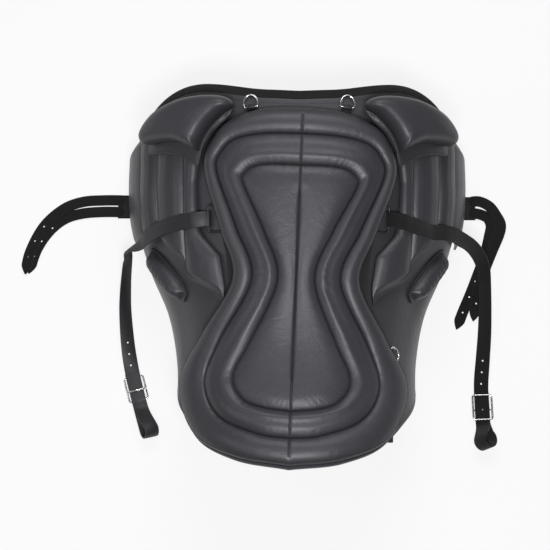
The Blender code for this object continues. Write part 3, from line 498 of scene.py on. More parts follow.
def rounded(corners, radius, steps=6):
    """Corners of a closed outline, each replaced by a short curve of places."""
    places = []
    for k, corner in enumerate(corners):
        before = unit(corners[k - 1] - corner) * radius
        after = unit(corners[(k + 1) % len(corners)] - corner) * radius
        for t in np.linspace(0, 1, steps + 1):
            places.append(corner + before * (1 - t) ** 2 + after * t ** 2)
    return np.array(places)


def boolean(obj, tool, operation):
    modify(obj, "BOOLEAN", operation=operation, solver="EXACT", object=tool)
    bpy.data.objects.remove(tool, do_unlink=True)


def peg(low, high, radius, sides=20):
    """A round peg from one place to another."""
    low, high = Vector(low), Vector(high)
    bpy.ops.object.select_all(action="DESELECT")
    bpy.ops.mesh.primitive_cylinder_add(vertices=sides, radius=radius, depth=(high - low).length)
    obj = bpy.context.object
    turn = (high - low).to_track_quat("Z", "Y").to_matrix().to_4x4()
    obj.data.transform(Matrix.Translation((low + high) / 2) @ turn)
    return obj


def one_stitch(length, radius):
    """A stitch modelled once: a short rod whose ends dive into the leather."""
    bpy.ops.object.select_all(action="DESELECT")
    bpy.ops.mesh.primitive_cylinder_add(vertices=6, radius=radius, depth=length,
                                        rotation=(0, math.pi / 2, 0))
    obj = bpy.context.object
    bpy.ops.object.transform_apply(location=False, rotation=True, scale=False)
    edit_all(obj)
    bpy.ops.mesh.bisect(plane_co=(0, 0, 0), plane_no=(1, 0, 0), use_fill=False)
    bpy.ops.object.mode_set(mode="OBJECT")
    places = read(obj)
    ends = np.abs(places[:, 0]) > length * 0.4
    places[ends, 1:] *= 0.55
    places[ends, 2] -= radius * 0.9
    places[~ends, 2] += radius * 0.35
    places[:, 2] += radius * 0.15
    faces = [tuple(face.vertices) for face in obj.data.polygons]
    bpy.data.objects.remove(obj, do_unlink=True)
    return places, faces


def seam_run(u, y, h):
    """Places on the form and its normals there, for a row of stitches."""
    return form.at(u, y, h), form.normals(u, y)


def stitching(name, runs, body, pitch, radius=THREAD_R, fill=0.64):
    """Rows of stitches along runs, each a pair of places and normals. One piece."""
    shape, faces = one_stitch(pitch * fill, radius)
    all_places, all_faces = [], []
    for places, normals in runs:
        run = run_length(places)
        count = max(int(run[-1] / pitch), 1)
        middles = (np.arange(count) + 0.5) * run[-1] / count
        centre = at_lengths(places, middles)
        reach = pitch * 0.35
        ahead = unit(at_lengths(places, middles + reach) - at_lengths(places, middles - reach))
        up = unit(np.stack([np.interp(middles, run, normals[:, axis]) for axis in range(3)], 1))
        across = unit(np.cross(up, ahead))
        for c, a, x, n in zip(centre, ahead, across, up):
            first = sum(len(part) for part in all_places)
            all_places.append(c + shape[:, :1] * a + shape[:, 1:2] * x + shape[:, 2:3] * n)
            all_faces += [tuple(first + v for v in face) for face in faces]
    mesh = bpy.data.meshes.new(name)
    mesh.from_pydata(np.vstack(all_places).tolist(), [], all_faces)
    obj = bpy.data.objects.new(name, mesh)
    bpy.context.scene.collection.objects.link(obj)
    return settle(obj, [thread_finish()], body, angle=60)


# Materials

FLOAT, VECTOR = "NodeSocketFloat", "NodeSocketVector"


def feed(tree, node, values):
    """Set a node's inputs, each to a plain value or to another node's output."""
    for key, value in dict(values).items():
        if isinstance(value, bpy.types.NodeSocket):
            tree.links.new(value, node.inputs[key])
        else:
            node.inputs[key].default_value = value


def add_node(tree, kind, values=(), **settings):
    node = tree.nodes.new(kind)
    for key, value in settings.items():
        setattr(node, key, value)
    feed(tree, node, values)
    return node


def noise(tree, place, scale, detail=3.0, **more):
    values = {"Vector": place, "Scale": scale, "Detail": detail, **more}
    return add_node(tree, "ShaderNodeTexNoise", values).outputs


def calc(tree, operation, *values):
    node = add_node(tree, "ShaderNodeMath", enumerate(values), operation=operation)
    return node.outputs["Value"]


def in_range(tree, value, low, high, to_low=0.0, to_high=1.0):
    values = {"Value": value, "From Min": low, "From Max": high, "To Min": to_low,
              "To Max": to_high}
    return add_node(tree, "ShaderNodeMapRange", values).outputs["Result"]


def mixed_colour(tree, value, dark, light):
    """Mix two colours by a value."""
    values = {"Factor": value, "A": (*dark, 1.0), "B": (*light, 1.0)}
    return add_node(tree, "ShaderNodeMix", values, data_type="RGBA").outputs["Result"]


def scaled(colour, share):
    return tuple(channel * share for channel in colour)


def bump(tree, height, distance):
    values = {"Height": height, "Distance": distance, "Strength": 1.0}
    return add_node(tree, "ShaderNodeBump", values).outputs["Normal"]


def new_group(name, inputs, outputs):
    """An empty shader group with float or vector sockets."""
    group = bpy.data.node_groups.new(name, "ShaderNodeTree")
    for label, kind, default in inputs:
        socket = group.interface.new_socket(label, in_out="INPUT", socket_type=kind)
        if default is not None:
            socket.default_value = default
    for label in outputs:
        group.interface.new_socket(label, in_out="OUTPUT", socket_type=FLOAT)
    return group, group.nodes.new("NodeGroupInput").outputs, group.nodes.new("NodeGroupOutput")


def grain_group():
    """Leather grain: pebbled cells with fine pores, and slow changes of tone."""
    found = bpy.data.node_groups.get("leather_grain")
    if found:
        return found
    group, given, sink = new_group(
        "leather_grain",
        [("Place", VECTOR, None), ("Cells per metre", FLOAT, 700.0), ("Creases", FLOAT, 0.5)],
        ["Height", "Tone", "Gloss change"])
    place = given["Place"]
    bend = add_node(group, "ShaderNodeVectorMath",
                    {0: noise(group, place, 240.0, 2.0)["Color"], "Scale": 0.0016},
                    operation="SCALE").outputs["Vector"]
    moved = add_node(group, "ShaderNodeVectorMath", {0: place, 1: bend}, operation="ADD")
    cells = add_node(group, "ShaderNodeTexVoronoi",
                     {"Vector": moved.outputs["Vector"], "Scale": given["Cells per metre"],
                      "Randomness": 0.9}, feature="SMOOTH_F1").outputs["Distance"]
    pores = calc(group, "MULTIPLY", noise(group, place, 1500.0)["Fac"], 0.22)
    fold_line = in_range(group, noise(group, place, 38.0, Distortion=1.4)["Fac"], 0.42, 0.62)
    folds = calc(group, "MULTIPLY", fold_line, given["Creases"])
    slow = noise(group, place, 9.0, 4.0)["Fac"]
    tone = calc(group, "ADD", calc(group, "MULTIPLY", slow, 0.6),
                calc(group, "MULTIPLY", cells, 0.35))
    height = calc(group, "ADD", calc(group, "ADD", cells, pores), folds)
    feed(group, sink, {"Height": height, "Tone": tone, "Gloss change": slow})
    return group


def fibre_group():
    """Felt and flesh-side fibres: matted noise at two scales."""
    found = bpy.data.node_groups.get("matted_fibres")
    if found:
        return found
    group, given, sink = new_group(
        "matted_fibres", [("Place", VECTOR, None), ("Fineness", FLOAT, 900.0)],
        ["Height", "Tone"])
    fibres = noise(group, given["Place"], given["Fineness"], 6.0, Roughness=0.72,
                   Distortion=2.2)["Fac"]
    lumps = calc(group, "MULTIPLY", noise(group, given["Place"], 70.0)["Fac"], 0.8)
    feed(group, sink, {"Height": calc(group, "ADD", fibres, lumps), "Tone": fibres})
    return group


def weave_group():
    """Webbing: ribs along the strap crossed by its picks, on the piece's own UV map."""
    found = bpy.data.node_groups.get("webbing_weave")
    if found:
        return found
    group, given, sink = new_group(
        "webbing_weave",
        [("Place", VECTOR, None), ("Picks", FLOAT, 110.0), ("Ribs", FLOAT, 24.0)],
        ["Height", "Tone"])
    split = add_node(group, "ShaderNodeSeparateXYZ", {"Vector": given["Place"]}).outputs
    waves = []
    for axis, count in (("X", "Picks"), ("Y", "Ribs")):
        turns = calc(group, "MULTIPLY", split[axis], given[count])
        waves.append(calc(group, "SINE", calc(group, "MULTIPLY", turns, math.tau)))
    level = in_range(group, calc(group, "MULTIPLY", *waves), -1.0, 1.0)
    feed(group, sink, {"Height": level, "Tone": level})
    return group


def new_material(name, roughness, metallic=0.0, specular=0.5):
    material = bpy.data.materials.new(name)
    material.use_nodes = True
    tree = material.node_tree
    shader = tree.nodes["Principled BSDF"]
    feed(tree, shader, {"Roughness": roughness, "Metallic": metallic,
                        "Specular IOR Level": specular})
    return material, tree, shader


def texture_place(tree, output="Object"):
    return add_node(tree, "ShaderNodeTexCoord").outputs[output]


def leather_finish(name="grained_leather", colour=None, cells=620.0, creases=1.0, depth=0.00016,
                   roughness=(0.42, 0.52), coat=0.08):
    """Smooth leather with its grain and folds."""
    found = bpy.data.materials.get(name)
    if found:
        return found
    colour = colour or tuple(bpy.context.scene.saddle_finishes.leather_colour)
    material, tree, shader = new_material(name, roughness[0])
    grain = add_node(tree, "ShaderNodeGroup", node_tree=grain_group())
    feed(tree, grain, {"Cells per metre": cells, "Creases": creases,
                       "Place": texture_place(tree)})
    toned = mixed_colour(tree, grain.outputs["Tone"], scaled(colour, 0.72), scaled(colour, 1.30))
    rough = in_range(tree, grain.outputs["Gloss change"], 0.3, 0.7, *roughness)
    feed(tree, shader, {"Base Color": toned, "Roughness": rough, "Coat Weight": coat,
                        "Coat Roughness": 0.30, "Specular Tint": (0.97, 0.95, 1.0, 1.0),
                        "Normal": bump(tree, grain.outputs["Height"], depth)})
    return material


def strap_finish():
    return leather_finish("grained_strap", tuple(bpy.context.scene.saddle_finishes.strap_colour),
                          cells=1000.0, creases=0.3, depth=0.00008, roughness=(0.50, 0.60),
                          coat=0.05)


def fibre_finish(name, colour, fineness, depth, roughness=0.95):
    """Felt, flesh-side leather and cloth backing."""
    found = bpy.data.materials.get(name)
    if found:
        return found
    material, tree, shader = new_material(name, roughness, specular=0.2)
    fibres = add_node(tree, "ShaderNodeGroup", node_tree=fibre_group())
    feed(tree, fibres, {"Fineness": fineness, "Place": texture_place(tree)})
    toned = mixed_colour(tree, fibres.outputs["Tone"], scaled(colour, 0.55), scaled(colour, 1.5))
    feed(tree, shader, {"Base Color": toned, "Sheen Weight": 0.12, "Sheen Roughness": 0.6,
                        "Normal": bump(tree, fibres.outputs["Height"], depth)})
    return material


def felt_finish():
    return fibre_finish("matted_felt", tuple(bpy.context.scene.saddle_finishes.felt_colour),
                        700.0, 0.0008)


def flesh_finish():
    return fibre_finish("suede_back", (0.006, 0.006, 0.007), 1300.0, 0.0003, roughness=0.85)


def hook_finish():
    return fibre_finish("hook_and_loop", (0.018, 0.018, 0.019), 2600.0, 0.0006)


def webbing_finish():
    found = bpy.data.materials.get("woven_webbing")
    if found:
        return found
    material, tree, shader = new_material("woven_webbing", 0.75, specular=0.3)
    weave = add_node(tree, "ShaderNodeGroup", node_tree=weave_group())
    feed(tree, weave, {"Place": texture_place(tree, "UV")})
    toned = mixed_colour(tree, weave.outputs["Tone"], (0.006, 0.006, 0.007),
                         (0.026, 0.026, 0.028))
    feed(tree, shader, {"Base Color": toned,
                        "Normal": bump(tree, weave.outputs["Height"], 0.0006)})
    return material


def pitted_finish(name, roughness, dark, light, scale, depth, detail=3.0, polish=None, metallic=0.0,
                  **more):
    """A hard or twisted surface: fine noise in its colour and height, and in its polish."""
    found = bpy.data.materials.get(name)
    if found:
        return found
    material, tree, shader = new_material(name, roughness, metallic)
    marks = noise(tree, texture_place(tree), scale, detail, **more)["Fac"]
    feed(tree, shader, {"Base Color": mixed_colour(tree, marks, dark, light),
                        "Normal": bump(tree, marks, depth)})
    if polish:
        feed(tree, shader, {"Roughness": in_range(tree, marks, 0.35, 0.65, *polish)})
    return material


def thread_finish():
    colour = tuple(bpy.context.scene.saddle_finishes.thread_colour)
    return pitted_finish("stitching_thread", 0.55, scaled(colour, 0.6), scaled(colour, 1.5),
                         2200.0, 0.0002, detail=2.0)


def metal_finish():
    """Plated steel with faint polish marks and a little tarnish."""
    return pitted_finish("plated_steel_finish", 0.16, (0.60, 0.60, 0.59), (0.80, 0.80, 0.79),
                         420.0, 0.00006, detail=4.0, polish=(0.12, 0.27), metallic=1.0,
                         Roughness=0.7)


def coated_finish():
    """Black coating on the stirrup bars, a little pitted."""
    return pitted_finish("coated_steel_finish", 0.42, (0.012, 0.012, 0.012),
                         (0.026, 0.026, 0.026), 1300.0, 0.00008)


def moulded_finish():
    return pitted_finish("moulded_stiffener", 0.5, (0.022, 0.022, 0.022),
                         (0.038, 0.038, 0.038), 900.0, 0.0001)


def dress_node(name, material):
    """Give a CAD node that stays its finish."""
    node = frame["nodes"][name]
    node.data.materials.clear()
    node.data.materials.append(material)


# Settings that a user may change

class SaddleSizes(bpy.types.PropertyGroup):
    """Sizes of the saddle's soft pieces and stitches"""
    seat_crown: bpy.props.FloatProperty(
        name="Seat crown", description="Rise of the seat's padded rings above their grooves",
        default=SEAT_CROWN, min=0.0, max=0.02, unit="LENGTH")
    flap_crown: bpy.props.FloatProperty(
        name="Flap crown", description="Rise of the flaps' channels above their valleys",
        default=FLAP_CROWN, min=0.0, max=0.012, unit="LENGTH")
    stitch_pitch: bpy.props.FloatProperty(
        name="Stitch pitch", description="From one stitch to the next",
        default=0.0042, min=0.002, max=0.01, unit="LENGTH")


class SaddleFinishes(bpy.types.PropertyGroup):
    """Colours of the saddle's materials"""
    leather_colour: bpy.props.FloatVectorProperty(
        name="Leather", description="Smooth leather of seat, base, flaps and blocks",
        default=(0.037, 0.0357, 0.0415), subtype="COLOR", size=3, min=0.0, max=1.0)
    strap_colour: bpy.props.FloatVectorProperty(
        name="Straps", description="Grain side of stirrup leathers and billets",
        default=(0.015, 0.0145, 0.0175), subtype="COLOR", size=3, min=0.0, max=1.0)
    felt_colour: bpy.props.FloatVectorProperty(
        name="Felt", description="Felt of base, underlay and panels",
        default=(0.010, 0.010, 0.010), subtype="COLOR", size=3, min=0.0, max=1.0)
    thread_colour: bpy.props.FloatVectorProperty(
        name="Thread", description="Stitching thread",
        default=(0.006, 0.006, 0.007), subtype="COLOR", size=3, min=0.0, max=1.0)


def sizes():
    return bpy.context.scene.saddle_sizes


class Builder:
    """What the operators share: each runs the function that builds its pieces."""

    def execute(self, context):
        self.build()
        return {"FINISHED"}


# Base: leather, felt, panels, stiffener and the pads that hold the seat

BASE_FRONT = [(0.0, 0.278), (0.16, 0.282), (0.24, 0.289), (0.33, 0.297), (0.41, 0.302),
              (0.50, 0.300), (0.60, 0.290), (0.75, 0.266), (1.0, 0.236)]
BASE_REAR = [(0.0, -0.289), (0.25, -0.281), (0.45, -0.262), (0.60, -0.230), (0.80, -0.195),
             (1.0, -0.165)]
FELT_MARGIN = 0.0155
FRONT_PAD = [(0.120, 0.128), (0.165, 0.146), (0.205, 0.134), (0.230, 0.112), (0.246, 0.085)]
REAR_PAD = [(-0.288, 0.050), (-0.250, 0.120), (-0.180, 0.150), (-0.120, 0.128),
            (-0.060, 0.117), (-0.010, 0.113), (0.030, 0.116), (0.056, 0.122)]


def soft_between(pairs, value):
    """Reading of (place, value) pairs with their corners softened."""
    reach = 0.02
    return sum(between(pairs, value + reach * k) for k in (-2, -1, 0, 1, 2)) / 5


def base_pattern(s, t, margin):
    share = 2 * t - 1
    front = soft_between(BASE_FRONT, np.abs(share)) + margin
    rear = soft_between(BASE_REAR, np.abs(share)) - 0.3 * margin
    y = rear + (front - rear) * s
    return share * form.floor_u(y), y


def base_place(margin, h):
    def place(s, t):
        u, y = base_pattern(s, t, margin)
        return form.at(u, y, h)
    return place


def base_border(inset, h):
    """Runs along the base leather's front and rear edges, inset from them."""
    runs = []
    for end in (0.0, 1.0):
        t = np.linspace(0.02, 0.98, 500)
        u, y = base_pattern(np.full_like(t, end), t, 0.0)
        y = y - inset if end else y + inset
        runs.append(seam_run(u, y, h))
    return runs


def make_base():
    leather = sheet_piece("base_leather_skin", base_place(0.0, 0.0), 150, 220, LEATHER_T, 0.0007)
    settle(leather, [leather_finish()], "base", ["base_leather"])
    felt_top = -LEATHER_T - DRAPE_CLEAR / 2
    felt = sheet_piece("base_felt_layer", base_place(FELT_MARGIN, felt_top), 150, 220, FELT_T,
                       0.0016)
    settle(felt, [felt_finish()], "base", ["base_felt"])
    stitching("base_border_stitching", base_border(0.008, SEAM_LIFT), "base", sizes().stitch_pitch)

    panel_top = felt_top - FELT_T - DRAPE_CLEAR
    for side, label in SIDES:
        def panel(s, t, top, side=side):
            swell = np.sin(np.pi * s) ** 0.4 * np.sin(np.pi * t) ** 0.4
            quilt = 1 - 0.10 * np.exp(-((s * 5 - np.rint(s * 5)) * 9) ** 2)
            depth = PANEL_EDGE_T + (PANEL_T - PANEL_EDGE_T) * swell * quilt
            y = PANEL_REAR + (PANEL_FRONT - PANEL_REAR) * s
            return form.at(side * (SPINE_HALF_GAP + PANEL_WIDTH * t), y,
                           panel_top - np.where(top, 0.0, depth))
        piece = slab_piece("panel_cushion_" + label, panel, 90, 40)
        settle(piece, [felt_finish()], "base", ["panel_" + label])
    dress_node("pommel_arch", moulded_finish())

    for name, widths in (("front", FRONT_PAD), ("rear", REAR_PAD)):
        def pad(s, t, top, widths=widths):
            y = widths[0][0] + (widths[-1][0] - widths[0][0]) * s
            edge = np.minimum(np.minimum(s, 1 - s) * 12, np.minimum(t, 1 - t) * 20)
            high = PAD_T - 0.002 * (1 - np.clip(edge, 0, 1)) ** 2
            return form.at((2 * t - 1) * between(widths, y), y, np.where(top, high, PAD_LOW))
        piece = slab_piece("hook_pad_" + name, pad, 40, 40, 0.0005)
        settle(piece, [hook_finish()], "base", ["seat_pad_" + name])


class SADDLE_OT_base(Builder, bpy.types.Operator):
    """Build the base leather, its felt, panels and hook pads, and give the stiffener its finish"""
    bl_idname = "saddle.base"
    bl_label = "Base"
    build = staticmethod(make_base)


# Seat

SEAT_EDGE = [(0.0, 0.2565), (0.060, 0.253), (0.105, 0.239), (0.130, 0.2155), (0.1465, 0.163),
             (0.1175, 0.068), (0.0945, -0.010), (0.1375, -0.098), (0.180, -0.178),
             (0.147, -0.262), (0.078, -0.302), (0.0, -0.315)]
FIRST_GROOVE = [(0.0, 0.2155), (0.058, 0.214), (0.098, 0.206), (0.118, 0.188),
                (0.1255, 0.156), (0.0925, 0.070), (0.065, -0.011), (0.107, -0.112),
                (0.1275, -0.182), (0.102, -0.238), (0.045, -0.267), (0.0, -0.273)]
SECOND_GROOVE = [(0.0, 0.165), (0.044, 0.165), (0.068, 0.1612), (0.0815, 0.151),
                 (0.0832, 0.134), (0.050, 0.063), (0.027, -0.012), (0.0605, -0.112),
                 (0.0835, -0.173), (0.070, -0.209), (0.041, -0.224), (0.0, -0.230)]
SEAT_MIDDLE = [(0.0, 0.124), (0.0, 0.118), (0.0, 0.111), (0.0, 0.102), (0.0, 0.090),
               (0.0, 0.040), (0.0, -0.015), (0.0, -0.080), (0.0, -0.140), (0.0, -0.163),
               (0.0, -0.172), (0.0, -0.180)]
RINGS = (SEAT_EDGE, FIRST_GROOVE, SECOND_GROOVE, SEAT_MIDDLE)

underlay_low = PAD_T + 3 * CLEAR + DRAPE_CLEAR
seat_low = underlay_low + UNDERLAY_T + DRAPE_CLEAR
wall_top = seat_low + SEAT_SIDE
groove_one = wall_top + 0.35 * SEAT_FILL
groove_two = wall_top + 0.75 * SEAT_FILL
GROOVE_DEEP = 0.0022        # how far the stitches pull the cover down
SEAM_HALF_WIDTH = 0.0014    # of the seam along the middle

# How the seat lies on its pads: turned clockwise seen from above, and moved to the left
SEAT_TURN = math.radians(2.0)
SEAT_SHIFT = -0.0035


def seat_plan(along, level):
    """u and y on the seat: along 0 to 1 round one half, level 0 at the edge, 3 inside."""
    rings = np.stack([through(ring, along) for ring in RINGS])
    first = np.clip(level.astype(int), 0, 2)
    share = (level - first)[:, None]
    pick = np.arange(len(along))
    outer, inner = rings[first, pick], rings[first + 1, pick]
    place = outer + (inner - outer) * share
    return np.maximum(place[:, 0], 0.0), place[:, 1]


def seat_pattern(s, level):
    """u and y on the seat, s 0 to 1 right round it."""
    along = np.where(s <= 0.5, 2 * s, 2 - 2 * s)
    u, y = seat_plan(along, level)
    return np.where(s <= 0.5, u, -u), y


def seat_lie(u, y):
    """Where a place of the seat comes to lie on the form: the seat is turned on its pads."""
    turned = u * np.cos(SEAT_TURN) + y * np.sin(SEAT_TURN) + SEAT_SHIFT
    return turned, y * np.cos(SEAT_TURN) - u * np.sin(SEAT_TURN)


def pucker(s, level, groove):
    """Small gathers across a stitched groove, fading away from it."""
    wave = np.sin(s * 540.0 + 1.7 * np.sin(s * 61.0)) * (0.55 + 0.45 * np.sin(s * 97.0 + groove))
    return wave * np.exp(-np.abs(level - groove) / 0.13)


def seat_around():
    """Shares round the seat, closer together over the middle seam."""
    even_steps = np.linspace(0.0, 1.0, 361)
    seam = 0.012 * np.array([0.15, 0.35, 0.6, 1.0])
    close = np.concatenate([seam, 0.5 - seam, 0.5 + seam, 1 - seam])
    return np.unique(np.round(np.concatenate([even_steps, close]), 6))


def make_seat():
    crown = sizes().seat_crown
    middle = wall_top + SEAT_FILL + 0.5 * crown
    seam_one, seam_two = groove_one - GROOVE_DEEP, groove_two - GROOVE_DEEP
    profile = [
        ([(0.02, seat_low), (0.008, seat_low + 0.003), (0.0, wall_top - 0.005),
          (0.016, wall_top + 0.0005), (0.10, wall_top + 0.0048),
          (0.22, groove_one + 0.55 * crown), (0.40, groove_one + 0.84 * crown),
          (0.60, groove_one + 0.92 * crown), (0.80, groove_one + 0.72 * crown),
          (0.92, groove_one + 0.42 * crown), (0.975, groove_one + 0.12 * crown),
          (1.0, seam_one)], 46),
        ([(1.0, seam_one), (1.03, groove_one + 0.15 * crown),
          (1.12, groove_one + 0.58 * crown), (1.30, groove_one + 1.02 * crown),
          (1.5, groove_one + 1.20 * crown), (1.7, groove_two + 0.90 * crown),
          (1.88, groove_two + 0.52 * crown), (1.965, groove_two + 0.14 * crown),
          (2.0, seam_two)], 34),
        ([(2.0, seam_two), (2.04, groove_two + 0.16 * crown),
          (2.15, groove_two + 0.50 * crown), (2.35, groove_two + 0.82 * crown),
          (2.65, middle + 0.0006), (2.85, middle), (2.95, middle - 0.0006),
          (3.0, middle - GROOVE_DEEP)], 30)]
    top_rows = rows_through(profile)
    rows = np.vstack([top_rows[::-1], [(level, seat_low) for level in (0.3, 1.0, 2.0, 3.0)]])
    around = seat_around()

    def cover(s, t):
        s = np.interp(s, np.linspace(0, 1, len(around)), around)
        row = np.rint(t * (len(rows) - 1)).astype(int)
        level, h = rows[row, 0], rows[row, 1]
        u, y = seat_pattern(s, level)
        top = row < len(top_rows)
        seam = np.exp(-(u / SEAM_HALF_WIDTH) ** 2) * smooth(level, 0.12, 0.30)
        gathers = 0.00045 * (pucker(s, level, 1.0) + pucker(s, level, 2.0))
        waist = np.exp(-((y + 0.012) / 0.045) ** 2)
        folds = 0.0006 * waist * np.sin(y * 760 + 7 * np.sin(u * 90)) * np.exp(
            -((level - 1.45) / 0.34) ** 2)
        slack = 0.0006 * np.sin(u * 31 + 2.0) * np.sin(y * 24 + 1.0) * smooth(level, 0.2, 0.8)
        lift = gathers * smooth(level, 0.10, 0.30) + folds + slack - 0.0016 * seam
        return form.at(*seat_lie(u, y), h + np.where(top, lift, 0.0))

    piece = wrapped_piece("seat_cushion", cover, len(around) - 1, len(rows) - 1)
    settle(piece, [leather_finish()], "seat", ["seat_cover", "seat_foam"])

    felt_levels = (3.0, 2.5, 2.0, 1.5, 1.0, 0.6, 0.3, 0.12, 0.10)
    felt_rows = [(level, underlay_low + UNDERLAY_T) for level in felt_levels]
    felt_rows += [(level, underlay_low) for level in reversed(felt_levels)]
    felt_rows = np.array(felt_rows)

    def underlay(s, t):
        row = np.rint(t * (len(felt_rows) - 1)).astype(int)
        u, y = seat_pattern(s, felt_rows[row, 0])
        return form.at(*seat_lie(u, y), felt_rows[row, 1])

    piece = wrapped_piece("seat_underlay_felt", underlay, 240, len(felt_rows) - 1)
    settle(piece, [felt_finish()], "seat", ["seat_underlay"])

    # The binding is a roll round the edge, in levels across and in metres up
    steps = 14
    turn = np.linspace(0, 2 * np.pi, steps + 1)
    centre, half_wide, half_high = -0.0300, 0.0670, (seat_low + 0.006 - underlay_low) / 2
    roll = np.stack([centre + half_wide * np.cos(turn),
                     underlay_low + half_high * (1 + np.sin(turn))], 1)

    def binding(s, t):
        row = np.rint(t * steps).astype(int)
        u, y = seat_pattern(s, roll[row, 0])
        return form.at(*seat_lie(u, y), roll[row, 1])

    piece = wrapped_piece("seat_edge_binding", binding, 300, steps)
    settle(piece, [leather_finish()], "seat", ["seat_binding"])

    around_fine = np.linspace(0, 1, 1200)
    runs = []
    for level, h in ((0.065, wall_top + 0.0042), (1.0, groove_one - 0.0019),
                     (2.0, groove_two - 0.0019)):
        u, y = seat_lie(*seat_pattern(around_fine, np.full_like(around_fine, level)))
        runs.append(seam_run(u, y, h))
    stitching("seat_stitching", runs, "seat", sizes().stitch_pitch, SEAT_THREAD_R)


class SADDLE_OT_seat(Builder, bpy.types.Operator):
    """Build the seat cushion, its underlay, edge binding and stitching"""
    bl_idname = "saddle.seat"
    bl_label = "Seat"
    build = staticmethod(make_seat)


# Flaps

FLAP_INNER = [(-0.055, 0.121), (-0.020, 0.118), (0.030, 0.126), (0.065, BAR_U + 0.0105),
              (0.090, BAR_U + 0.0175), (0.150, BAR_U + 0.0205), (0.200, 0.158),
              (0.225, 0.142), (0.245, 0.118), (0.270, 0.100)]
FLAP_REAR = [(0.0, -0.052), (0.08, -0.030), (0.17, -0.008), (0.27, 0.018), (0.36, 0.046),
             (0.46, 0.071), (0.55, 0.083), (1.0, 0.083)]
FLAP_FRONT = [(0.0, 0.268), (0.30, 0.272), (0.60, 0.262), (0.85, 0.240), (1.0, 0.225)]
VALLEYS = (0.191, 0.250, 0.299)
UPPER_RISES = [(0.0, 0.0), (0.03, 0.20), (0.10, 0.52), (0.25, 0.86), (0.5, 1.0),
               (0.75, 0.86), (0.90, 0.52), (0.97, 0.20), (1.0, 0.0)]
LOWEST_RISES = [(0.0, 0.0), (0.03, 0.30), (0.10, 0.70), (0.26, 1.0), (0.42, 0.9),
                (0.58, 0.7), (0.72, 0.4), (0.86, 0.15), (1.0, 0.0)]
flap_low = DRAPE_CLEAR + GIRTH_T + 1.8 * DRAPE_CLEAR
flap_edge = flap_low + FLAP_EDGE_T
PANEL_COLUMNS = 26


def flap_y(s, share):
    rear = soft_between(FLAP_REAR, share)
    front = soft_between(FLAP_FRONT, share)
    return rear + (front - rear) * s


def flap_pattern(s, column):
    """u, y and height on the flap's outer face, for its column of the grid."""
    columns = PANEL_COLUMNS * (len(VALLEYS) + 1)
    share = column / columns
    y = flap_y(s, share)
    inner, floor = between(FLAP_INNER, y), form.floor_u(y)
    stops = [inner, *(np.full_like(y, valley) for valley in VALLEYS), floor]
    panel = np.minimum(column // PANEL_COLUMNS, len(VALLEYS)).astype(int)
    k = (column - panel * PANEL_COLUMNS) / PANEL_COLUMNS
    k = 0.5 - 0.5 * np.cos(np.pi * k)
    low = np.choose(panel, stops[:-1])
    high = np.choose(panel, stops[1:])
    lowest = panel == len(VALLEYS)
    crown = sizes().flap_crown * np.minimum((high - low) / 0.030, 1.0) * np.where(lowest, 0.55, 1)
    rise = np.where(lowest, between(LOWEST_RISES, k), between(UPPER_RISES, k))
    ends = smooth(np.minimum(s, 1 - s) * 0.25, 0.002, 0.016)
    wave = 1 + 0.05 * np.sin(y * 75 + panel * 2.0)
    u = low + (high - low) * k
    return u, y, flap_edge + crown * rise * ends * wave


def make_flaps():
    columns = PANEL_COLUMNS * (len(VALLEYS) + 1)
    for side, label in SIDES:
        def place(s, t, top, side=side):
            u, y, h = flap_pattern(s, np.rint(t * columns))
            return form.at(side * u, y, np.where(top, h, flap_low), FLAP_LIFT)
        piece = slab_piece("flap_pad_" + label, place, 130, columns, 0.0006)
        settle(piece, [leather_finish()], "base", ["flap_" + label])
        runs = []
        s = np.linspace(0.015, 0.985, 500)
        for number in range(1, len(VALLEYS) + 1):
            u, y, h = flap_pattern(s, np.full_like(s, number * PANEL_COLUMNS))
            runs.append(seam_run(side * u, y, h + SEAM_LIFT))
        t = np.linspace(0.02, 0.97, 500) * columns
        for end, inset in ((0.0, 0.0045), (1.0, -0.0045)):
            u, y, h = flap_pattern(np.full_like(t, end), t)
            runs.append((form.at(side * u, y + inset, flap_edge + 0.0004),
                         form.normals(side * u, y)))
        stitching("flap_stitching_" + label, runs, "base", sizes().stitch_pitch)


class SADDLE_OT_flaps(Builder, bpy.types.Operator):
    """Build the quilted flaps and their stitching"""
    bl_idname = "saddle.flaps"
    bl_label = "Flaps"
    build = staticmethod(make_flaps)


# Knee blocks and thigh rolls

KNEE_EDGE = [(0.098, 0.262), (0.105, 0.275), (0.130, 0.282), (0.166, 0.283), (0.197, 0.278),
             (0.227, 0.267), (0.248, 0.250), (0.258, 0.233), (0.251, 0.221), (0.226, 0.220),
             (0.190, 0.215), (0.163, 0.200), (0.154, 0.195), (0.151, 0.207), (0.139, 0.228),
             (0.118, 0.249)]
KNEE_MIDDLE = [(0.130, 0.263), (0.136, 0.265), (0.150, 0.265), (0.168, 0.262), (0.187, 0.257),
               (0.204, 0.250), (0.217, 0.243), (0.222, 0.238), (0.218, 0.235), (0.205, 0.235),
               (0.188, 0.235), (0.173, 0.233), (0.166, 0.234), (0.159, 0.242), (0.151, 0.249),
               (0.139, 0.257)]
FLANGE_EDGE = [(0.103, 0.259), (0.109, 0.271), (0.132, 0.277), (0.166, 0.278), (0.196, 0.273),
               (0.225, 0.262), (0.246, 0.246), (0.257, 0.227), (0.256, 0.208), (0.226, 0.203),
               (0.193, 0.193), (0.168, 0.178), (0.158, 0.175), (0.151, 0.203), (0.140, 0.225),
               (0.120, 0.247)]
KNEE_SPINE = [(0.150, 0.257), (0.167, 0.249), (0.188, 0.246), (0.209, 0.241)]
SPINE_KEYS = (0.0, 0.08, 0.2, 0.38, 0.56, 0.74, 0.9, 1.0)
knee_flange_low = flap_low + FLAP_EDGE_T + FLAP_CROWN + SEAT_CLEAR
